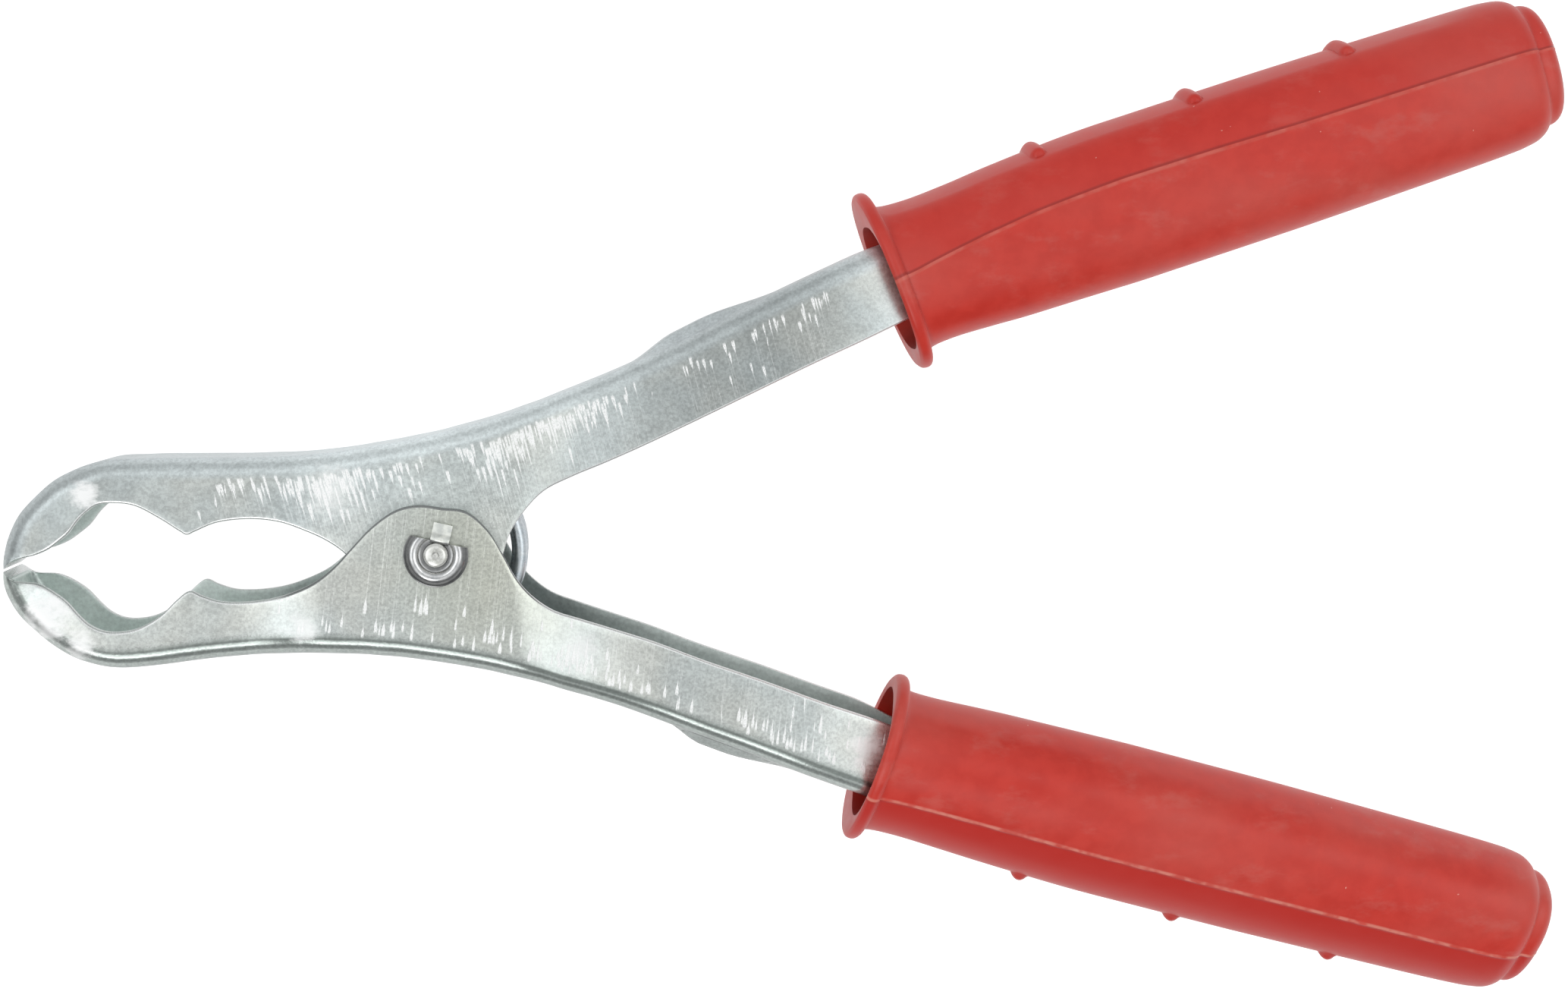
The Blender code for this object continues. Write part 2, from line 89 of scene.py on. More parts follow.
LOWER_ROWS = [
    (-56.4, -2.2, -55.0, -3.4, 7.1), (-56.4, -4.1, -53.7, -3.5, 7.4), (-55.7, -5.9, -52.1, -3.6, 7.7),
    (-54.4, -7.9, -50.9, -4.0, 8.1), (-52.4, -9.9, -49.5, -4.8, 8.4), (-50.1, -11.8, -47.9, -6.0, 8.6),
    (-47.5, -13.4, -46.4, -7.7, 8.8), (-45.0, -14.3, -45.0, -9.0, 8.9), (-42.7, -14.8, -43.3, -9.8, 8.9),
    (-40.3, -14.9, -41.3, -10.0, 8.9), (-37.4, -14.7, -38.7, -9.5, 8.9), (-34.6, -14.4, -35.9, -7.9, 8.9),
    (-32.3, -14.1, -33.7, -5.8, 8.9), (-30.6, -13.9, -32.1, -4.7, 8.9), (-28.7, -13.7, -30.4, -5.4, 8.9),
    (-26.1, -13.5, -28.1, -6.1, 8.9), (-23.3, -13.3, -25.1, -6.2, 9.0), (-20.5, -13.2, -21.7, -5.8, 9.4),
    (-17.7, -13.1, -18.7, -4.9, 10.0), (-14.9, -13.1, -15.7, -3.5, 10.4), (-12.1, -13.2, -13.1, -1.4, 10.4),
    (-9.6, -13.3, -10.9, 1.0, 10.4), (-7.5, -13.5, -8.3, 3.7, 10.4), (-5.1, -13.7, -5.3, 5.8, 10.4),
    (-2.1, -14.1, -2.3, 6.5, 10.4), (1.1, -14.6, 0.9, 6.1, 10.4), (3.9, -15.1, 4.0, 5.6, 10.4),
    (6.9, -15.7, 6.8, 3.1, 10.4), (9.3, -16.3, 8.7, -0.1, 10.4), (11.7, -16.9, 10.3, -3.1, 10.3),
    (14.1, -17.6, 12.4, -5.6, 9.9), (16.9, -18.6, 15.3, -7.7, 9.2), (20.3, -19.7, 18.9, -9.0, 8.4),
    (24.3, -21.1, 23.4, -10.5, 7.7), (28.9, -22.9, 29.0, -12.4, 7.2), (34.9, -25.3, 35.4, -14.9, 7.1),
    (41.9, -28.0, 43.8, -17.9, 7.1), (48.9, -30.8, 51.5, -20.8, 7.1), (55.4, -33.3, 58.3, -23.2, 6.5),
    (61.4, -35.5, 64.2, -25.5, 5.9), (68.9, -36.8, 71.3, -28.3, 5.2), (76.1, -38.5, 78.2, -30.9, 4.9),
    (100.9, -45.3, 102.9, -37.9, 4.8), (125.4, -51.8, 127.4, -44.5, 4.7)]
UPPER_SEAT = (25.5, 32.0, 35.0, 47.0)   # x limits of the seat, in the order that FAR_RISE_X has
LOWER_SEAT = (30.2, 35.0, 38.0, 50.0)
OUTER_SKIN, BLANKED_EDGE, INNER_SKIN = 0, 1, 2


def spline(rows, steps):
    """Smooth curve through the rows, with the given number of steps between neighbours."""
    out = []
    last = len(rows) - 1
    for i in range(last):
        a, b = rows[max(i - 1, 0)], rows[i]
        c, d = rows[i + 1], rows[min(i + 2, last)]
        for k in range(steps):
            t = k / steps
            out.append(tuple(
                0.5 * (2 * q + (r - p) * t + (2 * p - 5 * q + 4 * r - s) * t * t
                       + (3 * q - p - 3 * r + s) * t ** 3)
                for p, q, r, s in zip(a, b, c, d)))
    out.append(tuple(float(v) for v in rows[last]))
    return out


def smooth_step(t):
    t = min(max(t, 0.0), 1.0)
    return t * t * (3 - 2 * t)


def swell(x, limits):
    """Share from 0 to 1 that rises, holds and sinks again at four limits along x."""
    start, full, sink, end = limits
    return smooth_step((x - start) / (full - start)) * (1 - smooth_step((x - sink) / (end - sink)))


def seat_lift(x, z, limits):
    """How far the web is pressed out at one place to make the spring's seat."""
    return SEAT_HEIGHT * swell(x, limits) * (1 - smooth_step((abs(z) - SEAT_HALF_WIDTH) / SEAT_FLANK))


def half_skin(depth, half, bend, inset, lip, steps):
    """One wall and half the web of one skin: (depth, z, drop below the bend, way to the edge, is edge)."""
    lip = min(lip, 0.8 * (depth - bend))
    wall = half - inset
    side = -1.0 if inset else 1.0
    points = []
    for k in range(steps["lip"] + 1):
        a = 0.5 * math.pi * k / steps["lip"]
        d = depth - lip * (1 - math.cos(a))
        points.append((d, wall - side * lip * (1 - math.sin(a)), d - bend, depth - d, k < steps["lip"]))
    for k in range(1, steps["wall"] + 1):
        d = depth - lip + (bend - depth + lip) * k / steps["wall"]
        points.append((d, wall, d - bend, depth - d, False))
    r = max(bend - inset, 0.3)
    for k in range(1, steps["bend"] + 1):
        a = 0.5 * math.pi * k / steps["bend"]
        points.append((inset + r * (1 - math.sin(a)), wall - r * (1 - math.cos(a)), -r * a, depth, False))
    for k in range(1, steps["web"] + 1):
        z = (wall - r) * (1 - k / steps["web"])
        points.append((inset, z, -r * math.pi / 2 - (wall - r) + z, depth, False))
    return points


def channel_ring(row, seat, rise_on, steps):
    """Closed section through the sheet: outer skin from far to near, then the inner skin back."""
    wx, wy, ex, ey, half = row
    down = Vector((ex - wx, ey - wy))
    depth = down.length
    down /= depth
    bend = min(BEND_R, 0.85 * depth)
    rise = FAR_RISE * rise_on * swell(ex, FAR_RISE_X)
    ring = []
    for inset, lip, skin, turn in ((0.0, ROLL_OVER, OUTER_SKIN, 1), (SHEET, BURR, INNER_SKIN, -1)):
        near = [(*p[:4], 1, p[4]) for p in half_skin(depth, half, bend, inset, lip, steps)]
        far = [(*p[:4], -1, p[4]) for p in half_skin(depth + rise, half, bend, inset, lip, steps)]
        for d, z, drop, edge, side, is_edge in (far + near[-2::-1])[::turn]:
            lift = seat_lift(wx, z, seat)
            place = Vector((wx + down.x * (d - lift), wy + down.y * (d - lift), MID_Z + z * side)) * MM
            ring.append((place, drop, edge, BLANKED_EDGE if is_edge else skin))
    return ring


def show(name, bm, materials, sharp=40.0):
    """Object from the mesh being built, shaded smooth except where it turns sharply."""
    mesh = bpy.data.meshes.new(name)
    bm.to_mesh(mesh)
    bm.free()
    mesh.shade_smooth()
    mesh.set_sharp_from_angle(angle=math.radians(sharp))
    for material in materials:
        mesh.materials.append(material)
    obj = bpy.data.objects.new(name, mesh)
    bpy.context.scene.collection.objects.link(obj)
    return obj


def press_channel(name, rows, seat, rise_on, materials):
    """Loft of the closed sheet section along the lever, with the pin hole punched through both ears."""
    steps = {"lip": 4, "wall": 9, "bend": 9, "web": 7}
    rings = [channel_ring(row, seat, rise_on, steps) for row in spline(rows, 5)]
    count = len(rings[0])
    bm = bmesh.new()
    hem = bm.loops.layers.uv.new("hem")     # drop below the bend line, way to the blanked edge
    grid = [[bm.verts.new(point[0]) for point in ring] for ring in rings]
    for i in range(len(grid) - 1):
        for k in range(count):
            n = (k + 1) % count
            face = bm.faces.new((grid[i][k], grid[i][n], grid[i + 1][n], grid[i + 1][k]))
            corners = (rings[i][k], rings[i][n], rings[i + 1][n], rings[i + 1][k])
            skins = {corners[0][3], corners[1][3]}
            face.material_index = BLANKED_EDGE if BLANKED_EDGE in skins else skins.pop()
            for loop, corner in zip(face.loops, corners):
                loop[hem].uv = corner[1:3]
    for i in (0, -1):
        for k in range(count // 2 - 1):
            face = bm.faces.new((grid[i][k], grid[i][k + 1], grid[i][count - 2 - k], grid[i][count - 1 - k]))
            face.material_index = BLANKED_EDGE
    bmesh.ops.recalc_face_normals(bm, faces=bm.faces)
    channel = show(name, bm, materials)
    punch_bm = bmesh.new()
    bmesh.ops.create_cone(punch_bm, cap_ends=True, segments=PIN_HOLE_SIDES, radius1=PIN_HOLE_R * MM,
                          radius2=PIN_HOLE_R * MM, depth=40 * MM)
    bmesh.ops.translate(punch_bm, verts=punch_bm.verts, vec=(0, 0, MID_Z * MM))
    punch = show("pin_hole_punch", punch_bm, [])
    hole = channel.modifiers.new("pin hole", "BOOLEAN")
    hole.object = punch
    bpy.context.view_layer.update()
    punched = bpy.data.meshes.new_from_object(channel.evaluated_get(bpy.context.evaluated_depsgraph_get()))
    channel.modifiers.clear()
    channel.data = punched
    bpy.data.objects.remove(punch, do_unlink=True)
    return channel


def node(tree, kind, inputs=None, **settings):
    """Shader node with its settings and inputs, which are values or other nodes' outputs."""
    made = tree.nodes.new("ShaderNode" + kind)
    for key, value in settings.items():
        setattr(made, key, value)
    for key, value in (inputs or {}).items():
        if isinstance(value, bpy.types.NodeSocket):
            tree.links.new(value, made.inputs[key])
        else:
            made.inputs[key].default_value = value
    return made


def calc(tree, operation, *values):
    return node(tree, "Math", dict(enumerate(values)), operation=operation).outputs[0]


def fade(tree, value, start, end, low=0.0, high=1.0):
    """Smooth change from low to high as value goes from start to end."""
    inputs = {"Value": value, "From Min": start, "From Max": end, "To Min": low, "To Max": high}
    return node(tree, "MapRange", inputs, interpolation_type="SMOOTHSTEP").outputs["Result"]


def tint(tree, share, low, high, how="MIX"):
    colours = [c if isinstance(c, bpy.types.NodeSocket) else (*c, 1.0) for c in (low, high)]
    inputs = {0: share, 6: colours[0], 7: colours[1]}
    return node(tree, "Mix", inputs, data_type="RGBA", blend_type=how).outputs[2]


def cloud(tree, place, size, detail=3.0, roughness=0.55, stretch=(1, 1, 1)):
    """Soft noise from 0 to 1 with blotches of about this size."""
    scaled = node(tree, "Mapping", {"Vector": place, "Scale": stretch}).outputs[0]
    inputs = {"Vector": scaled, "Scale": 1.0 / (size * MM), "Detail": detail, "Roughness": roughness}
    return node(tree, "TexNoise", inputs).outputs[0]


def curve(tree, value, stops):
    """Grey level that follows (position, level) stops along value."""
    low, high = stops[0][0], stops[-1][0]
    inputs = {"Value": value, "From Min": low, "From Max": high}
    share = node(tree, "MapRange", inputs).outputs["Result"]
    ramp = node(tree, "ValToRGB", {"Fac": share})
    elements = ramp.color_ramp.elements
    while len(elements) < len(stops):
        elements.new(0.5)
    for element, (position, level) in zip(elements, stops):
        element.position = (position - low) / (high - low)
        element.color = (level, level, level, 1.0)
    return ramp.outputs[0]


def start_material(name):
    """Empty material with its output, and the place in the object as a vector and in millimetres."""
    material = bpy.data.materials.new(name)
    material.use_nodes = True
    tree = material.node_tree
    shader = tree.nodes["Principled BSDF"]
    place = node(tree, "TexCoord").outputs["Object"]
    scaled = node(tree, "VectorMath", {0: place, "Scale": 1 / MM}, operation="SCALE").outputs[0]
    x, y, z = node(tree, "SeparateXYZ", {0: scaled}).outputs
    return material, tree, shader, place, (x, y, z)


def apart(tree, x, y, spot):
    """Distance from a spot, seen from above."""
    flat = node(tree, "CombineXYZ", {0: x, 1: y}).outputs[0]
    return node(tree, "VectorMath", {0: flat, 1: (*spot, 0.0)}, operation="DISTANCE").outputs["Value"]


def dress(tree, shader, colour, metallic, roughness, relief, strength, depth=0.02):
    """Give the shader its colour, metal and roughness, and a fine relief, which it returns."""
    tree.links.new(colour, shader.inputs["Base Color"])
    shader.inputs["Metallic"].default_value = metallic
    tree.links.new(roughness, shader.inputs["Roughness"])
    bump = node(tree, "Bump", {"Strength": strength, "Distance": depth * MM, "Height": relief})
    tree.links.new(bump.outputs[0], shader.inputs["Normal"])
    return bump.outputs[0]


FAR_WALL_LANES = 311.0      # shift that gives the far wall other strokes than the near one
SHORTEST_STROKE = 1.6
STROKE_HALF = 0.10          # half the width of the finest stroke
STROKE_HALF_MORE = 0.14     # and what the broadest has on top


def drag_marks(tree, where, drop, lean, width, reach, start, density, seed):
    """Bright strokes where the die dragged down the wall, each from near the bend line, some missing."""
    x, y, z = where
    far = calc(tree, "MULTIPLY", calc(tree, "LESS_THAN", z, MID_Z), FAR_WALL_LANES)
    lane = calc(tree, "ADD", calc(tree, "MULTIPLY_ADD", y, lean, x), far)
    lane = calc(tree, "DIVIDE", lane, width)
    cell = calc(tree, "FLOOR", lane)
    random = node(tree, "TexWhiteNoise", {"W": calc(tree, "ADD", cell, seed)}, noise_dimensions="1D")
    pick, late, wide = node(tree, "SeparateColor", {0: random.outputs["Color"]}).outputs
    chance = random.outputs["Value"]
    length = calc(tree, "MULTIPLY_ADD", calc(tree, "POWER", pick, 1.1), reach, SHORTEST_STROKE)
    gone = calc(tree, "SUBTRACT", drop, calc(tree, "MULTIPLY", late, start))
    share = calc(tree, "DIVIDE", gone, length)
    full = calc(tree, "MULTIPLY_ADD", wide, STROKE_HALF_MORE, STROKE_HALF)
    narrow = calc(tree, "MULTIPLY", full, fade(tree, share, 1.0, 0.3))
    middle = calc(tree, "ABSOLUTE", calc(tree, "SUBTRACT", calc(tree, "FRACT", lane), 0.5))
    across = fade(tree, calc(tree, "MULTIPLY_ADD", middle, -width, narrow), -0.04, 0.05)
    begun = fade(tree, gone, -0.1, 0.35)
    here = calc(tree, "LESS_THAN", chance, density)
    return calc(tree, "MULTIPLY", calc(tree, "MULTIPLY", across, begun), here)


PIN_WARMTH = (7.0, 0.0)     # middle of the faint straw tint on the ears
WHITE = (1.0, 1.0, 1.0)
STRAW = (0.72, 0.72, 0.58)
# Colour of the painted reflection: a dark line along the lower lever's bend.
PAINTED_DARK_REFLECTION = (0.20, 0.22, 0.21)


def plated_skin(name, look):
    """Satin zinc plate: mottle, soft stains, drag marks and a bend smoothed by the die, with painted
    highlights, a painted dark reflection along the bend and painted light and shade past the bend and along
    the lever.
    """
    material, tree, shader, place, where = start_material(name)
    hem = node(tree, "UVMap", uv_map="hem").outputs[0]
    drop = node(tree, "SeparateXYZ", {0: hem}).outputs[0]
    x, y, _ = where
    mottle = cloud(tree, place, 0.42, 2.0, 0.7)
    blotch = cloud(tree, place, 2.6, 3.0)
    stain = cloud(tree, place, 15.0, 2.0)
    plain = fade(tree, drop, -0.4, 0.9)
    density = curve(tree, x, look["marks"])
    marks = None
    for width, reach, start, seed in look["strokes"]:
        more = drag_marks(tree, where, drop, look["lean"], width, reach, start, density, seed)
        marks = more if marks is None else calc(tree, "MAXIMUM", marks, more)
    broken = fade(tree, cloud(tree, place, 0.22, 1.0, 0.5, (2.5, 1, 1)), 0.36, 0.52)
    marks = calc(tree, "MULTIPLY", marks, calc(tree, "MULTIPLY_ADD", broken, 0.65, 0.35))
    warm = calc(tree, "MULTIPLY", fade(tree, apart(tree, x, y, PIN_WARMTH), 22.0, 3.0), look["warm"])
    colour = tint(tree, fade(tree, stain, 0.35, 0.65), look["cool"], look["grey"])
    colour = tint(tree, warm, colour, STRAW)
    # Painted light and shade past the bend line: the "bend" and "web" tones, lighter on the upper lever,
    # darker on the lower.
    painted_bend_tone = tint(tree, fade(tree, drop, -1.6, -3.2), look["bend"], look["web"])
    colour = tint(tree, plain, painted_bend_tone, colour)
    # Painted reflection: a dark line along the bend, where it would mirror the dark low side of the room.
    line = calc(tree, "MULTIPLY", fade(tree, drop, -1.0, -0.6), fade(tree, drop, 0.1, -0.3))
    colour = tint(tree, calc(tree, "MULTIPLY", line, look["line"]), colour, PAINTED_DARK_REFLECTION)
    shade = calc(tree, "MULTIPLY_ADD", fade(tree, mottle, 0.3, 0.7), 0.24, 0.84)
    broad = calc(tree, "MULTIPLY_ADD", fade(tree, blotch, 0.3, 0.7), 0.10, 0.94)
    shade = calc(tree, "MULTIPLY", shade, broad)
    # Painted shade: the bend's level dims the plate past the bend line.
    level = tint(tree, plain, look["painted_bend_level"], WHITE)
    colour = tint(tree, 1.0, colour, shade, "MULTIPLY")
    colour = tint(tree, 1.0, colour, level, "MULTIPLY")
    # Painted light and shade: a brightness that follows x along the lever.
    colour = tint(tree, 1.0, colour, curve(tree, x, look["painted_light_levels"]), "MULTIPLY")
    colour = tint(tree, marks, colour, WHITE)
    ragged = cloud(tree, place, 2.0, 5.0, 0.7, (0.8, 1.3, 1.0))
    # Painted highlights: white patches, mostly on the jaws' noses and where the lower lever's walls step out.
    painted_highlight_spots = None
    for at_x, at_y, size, strength in look["painted_highlight_spots"]:
        off = calc(tree, "MULTIPLY_ADD", ragged, 3.0 * size, apart(tree, x, y, (at_x, at_y)))
        more = calc(tree, "MULTIPLY", fade(tree, off, 2.9 * size, 1.7 * size), strength)
        painted_highlight_spots = more if painted_highlight_spots is None else calc(tree, "MAXIMUM", painted_highlight_spots, more)
    colour = tint(tree, painted_highlight_spots, colour, WHITE)
    rough = calc(tree, "MULTIPLY_ADD", mottle, 0.16, look["wall_rough"] - 0.08)
    rough = calc(tree, "ADD", calc(tree, "MULTIPLY", rough, plain),
                 calc(tree, "MULTIPLY", calc(tree, "SUBTRACT", 1.0, plain), look["bend_rough"]))
    rough = calc(tree, "MULTIPLY_ADD", calc(tree, "MAXIMUM", marks, painted_highlight_spots), 0.25, rough)
    fine = dress(tree, shader, colour, 0.95, rough, calc(tree, "ADD", mottle, marks), 0.35, 0.03)
    wave = node(tree, "Bump", {"Strength": 0.5, "Distance": 0.12 * MM, "Height": cloud(tree, place, 7.0, 1.0),
                               "Normal": fine})
    tree.links.new(wave.outputs[0], shader.inputs["Normal"])
    return material


# The lower lever's ears stand out past this, and their blanked edges get a painted shadow.
EAR_STARTS = (9.3, 10.0)    # way from the middle plane over which the walls give way to the lower ears


def blanked_edge(name):
    """Sheared edge: bright where the punch burnished it, finely lined, and darkened on the lower lever's ears
    by a painted shadow.
    """
    material, tree, shader, place, where = start_material(name)
    lines = cloud(tree, place, 0.3, 3.0, 0.6, (3.0, 3.0, 0.6))
    colour = tint(tree, fade(tree, lines, 0.3, 0.7), (0.70, 0.72, 0.72), (0.93, 0.94, 0.93))
    off_middle = calc(tree, "ABSOLUTE", calc(tree, "SUBTRACT", where[2], MID_Z))
    # Painted shadow: the edges darkened where the ears stand out over the upper lever.
    painted_ear_shadow = calc(tree, "MULTIPLY", fade(tree, off_middle, *EAR_STARTS), 0.8)
    colour = tint(tree, painted_ear_shadow, colour, (0.12, 0.13, 0.13))
    dress(tree, shader, colour, 0.9, fade(tree, lines, 0.2, 0.8, 0.22, 0.38), lines, 0.3, 0.03)
    return material


def inner_skin(name):
    """Inside of the channel: thin grey-green plate untouched by wear, made lighter towards the jaws by
    painted light.
    """
    material, tree, shader, place, where = start_material(name)
    mottle = cloud(tree, place, 0.5, 2.0, 0.6)
    blotch = cloud(tree, place, 5.0, 3.0)
    colour = tint(tree, fade(tree, blotch, 0.3, 0.7), (0.51, 0.56, 0.54), (0.58, 0.63, 0.61))
    colour = tint(tree, 1.0, colour, fade(tree, mottle, 0.25, 0.75, 0.9, 1.1), "MULTIPLY")
    # Painted light: the inside grows lighter towards the jaws.
    colour = tint(tree, 1.0, colour, fade(tree, where[0], 2.0, -12.0, 1.08, 1.42), "MULTIPLY")
    dress(tree, shader, colour, 0.85, fade(tree, mottle, 0.2, 0.8, 0.36, 0.5), mottle, 0.3)
    return material


# The plate of each lever. "cool" and "grey" are its two tones, and "bend" and "web" those past the bend
# line, painted light on the upper lever and painted shade on the lower one; the bend's level is painted shade
# on both. "line" and "warm" are shares of the dark line at the bend, a painted reflection, and of the straw
# tint. "lean" is how far a stroke runs across for each millimetre down. "marks" are (x, share of lanes with a
# stroke), the brightness along the lever, which is painted light and shade, is (x, brightness), the painted
# highlights are (x, y, size, strength), and "strokes" (lane width, added length, start, seed).
UPPER_LOOK = {
    "cool": (0.70, 0.76, 0.76), "grey": (0.75, 0.78, 0.75), "bend": (0.80, 0.85, 0.85),
    "web": (0.78, 0.83, 0.84), "line": 0.0, "warm": 0.15,
    "painted_bend_level": (0.94, 0.96, 0.97), "wall_rough": 0.33, "bend_rough": 0.34, "lean": 0.27,
    "marks": [(-32, 0), (-26, 0.35), (-20, 0.5), (-16, 0.85), (-10, 0.8), (-7, 0.25), (0, 0.25), (6, 0.4),
              (8, 0.9), (14, 0.9), (20, 0.7), (24, 0.35), (30, 0.1), (43, 0.12), (45, 0.3), (47, 0.05),
              (51, 0.3), (53, 0.0)],
    "painted_light_levels": [(-57, 0.66), (-46, 0.72), (-38, 0.88), (-24, 0.9), (-14, 1.04), (-2, 1.08),
               (6, 1.0), (18, 0.95), (34, 0.72), (44, 0.66), (50, 0.70), (60, 0.95)],
    "painted_highlight_spots": [(-45.4, 8.0, 1.9, 0.9), (-13.5, 8.2, 3.0, 0.45)],
    "strokes": [(0.42, 4.0, 1.2, 3.0), (0.8, 5.0, 6.0, 41.0), (0.55, 5.0, 2.5, 77.0)]}
LOWER_LOOK = {
    "cool": (0.72, 0.77, 0.76), "grey": (0.78, 0.80, 0.76), "bend": (0.60, 0.64, 0.62),
    "web": (0.46, 0.49, 0.48), "line": 0.8, "warm": 0.5,
    "painted_bend_level": (0.86, 0.88, 0.87), "wall_rough": 0.31, "bend_rough": 0.21, "lean": -0.12,
    "marks": [(-30, 0), (-16, 0.05), (-12, 0.22), (-2, 0.3), (9, 0.25), (12, 0.5), (15, 0.3), (17, 0.6),
              (22, 0.35), (29, 0.3), (34, 0.35), (37, 0.0), (39, 0.45), (50, 0.55), (53, 0.1), (56, 0.2)],
    "painted_light_levels": [(-57, 1.05), (-20, 0.97), (-8, 0.99), (9, 0.97), (15, 0.93), (26, 0.92),
               (40, 0.98), (50, 1.05), (60, 1.1)],
    "painted_highlight_spots": [(-50.5, -8.0, 3.4, 0.9), (-46.0, -11.2, 2.2, 0.8), (-17.5, -9.6, 2.0, 0.6),
               (19.0, -12.8, 2.0, 0.5), (57.5, -27.5, 2.4, 0.7)],
    "strokes": [(0.5, 3.0, 1.5, 11.0), (0.8, 5.0, 4.0, 29.0), (1.3, 7.0, 7.0, 53.0)]}
zinc_edge = blanked_edge("blanked_zinc_edge")
zinc_inside = inner_skin("zinc_inside")

upper_pressing = press_channel("upper_pressing", UPPER_ROWS, UPPER_SEAT, 0,
                               [plated_skin("upper_zinc_skin", UPPER_LOOK), zinc_edge, zinc_inside])
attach(upper_pressing, "upper_lever")
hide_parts("upper_channel")

lower_pressing = press_channel("lower_pressing", LOWER_ROWS, LOWER_SEAT, 1,
                               [plated_skin("lower_zinc_skin", LOWER_LOOK), zinc_edge, zinc_inside])
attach(lower_pressing, "lower_lever")
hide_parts("lower_channel")


# ---------------------------------------------------------------------------------------------
# The spacer sleeve, a short length of steel tube on the pin. It holds the upper lever's ears
# apart inside the coil when the pin is closed over.
# ---------------------------------------------------------------------------------------------
SLEEVE_R = 2.9
SLEEVE_BORE_R = 1.9
SLEEVE_CHAMFER = 0.2
TURNED_SIDES = 96
sleeve_low, sleeve_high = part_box("spacer_sleeve")


def turned(name, profile, closed, material):
    """Piece turned about the pin's axis from (radius, height) points, with a Screw modifier made final."""
    bm = bmesh.new()
    verts = [bm.verts.new((radius * MM, 0, height * MM)) for radius, height in profile]
    for a, b in zip(verts, verts[1:] + (verts[:1] if closed else [])):
        bm.edges.new((a, b))
    blank = show(name + "_profile", bm, [])
    screw = blank.modifiers.new("turn", "SCREW")
    screw.axis = "Z"
    screw.steps = screw.render_steps = TURNED_SIDES
    screw.use_merge_vertices = True
    screw.merge_threshold = 0.000001
    bpy.context.view_layer.update()
    mesh = bpy.data.meshes.new_from_object(blank.evaluated_get(bpy.context.evaluated_depsgraph_get()))
    bpy.data.objects.remove(blank, do_unlink=True)
    made = bmesh.new()
    made.from_mesh(mesh)
    bpy.data.meshes.remove(mesh)
    bmesh.ops.recalc_face_normals(made, faces=made.faces)
    return show(name, made, [material], 30.0)


def turned_steel(name, low, high, metallic, roughness, line_size):
    """Steel from a lathe or a tube mill: fine rings round the pin's axis over a soft mottle."""
    material, tree, shader, place, _ = start_material(name)
    rings = cloud(tree, place, line_size, 2.0, 0.6, (0.2, 0.2, 1.0))
    mottle = cloud(tree, place, 0.35, 2.0, 0.6)
    grain = calc(tree, "MULTIPLY", calc(tree, "ADD", rings, mottle), 0.5)
    uneven = fade(tree, grain, 0.3, 0.7, roughness - 0.06, roughness + 0.08)
    dress(tree, shader, tint(tree, fade(tree, grain, 0.35, 0.65), low, high), metallic, uneven, grain, 0.3)
    return material


top, bottom = sleeve_high.z / MM, sleeve_low.z / MM
spacer_tube = turned("spacer_tube", [
    (SLEEVE_BORE_R, top), (SLEEVE_R - SLEEVE_CHAMFER, top), (SLEEVE_R, top - SLEEVE_CHAMFER),
    (SLEEVE_R, bottom + SLEEVE_CHAMFER), (SLEEVE_R - SLEEVE_CHAMFER, bottom), (SLEEVE_BORE_R, bottom)],
    True, turned_steel("tube_steel", (0.50, 0.53, 0.53), (0.60, 0.62, 0.62), 0.95, 0.34, 0.4))
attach(spacer_tube, "lower_lever")
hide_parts("spacer_sleeve")


# ---------------------------------------------------------------------------------------------
# The torsion spring: about four turns of plated wire round the sleeve, with one straight leg in
# each handle's channel. Its legs bear on the pressed seats and push the handles apart.
# ---------------------------------------------------------------------------------------------
WIRE_R = 1.1
COIL_R = 10.9           # wire centre
COIL_HALF = 6.1         # reach of the wire's centre either side of the middle
COIL_START = 113.0      # degrees, where the upper leg runs into the coil
COIL_END = 256.0
COIL_TURNS = 4
POINTS_A_TURN = 28
WIRE_SIDES = 18
UPPER_LEG = [(36.5, 26.6, 0.0), (32.0, 24.75, -0.2), (25.0, 21.9, -1.2), (17.0, 18.65, -3.0),
             (9.0, 15.4, -4.7), (2.0, 12.6, -5.4)]
LOWER_LEG = [(2.5, -11.75, 5.4), (9.0, -13.3, 4.7), (17.0, -15.6, 3.0), (25.0, -18.6, 1.2),
             (34.0, -21.9, 0.2), (40.0, -24.2, 0.0)]


def wire_route():
    """Centre line of the wire: down the upper leg, round the coil and out along the lower leg."""
    start = math.radians(COIL_START)
    sweep = COIL_TURNS * 2 * math.pi + math.radians(COIL_END) - start
    count = int(sweep / (2 * math.pi) * POINTS_A_TURN)
    coil = []
    for k in range(count + 1):
        a = start + sweep * k / count
        coil.append((COIL_R * math.cos(a), COIL_R * math.sin(a), COIL_HALF * (2 * k / count - 1)))
    route = UPPER_LEG + coil + LOWER_LEG
    return [Vector((x, y, MID_Z + z)) for x, y, z in spline(route, 3)]


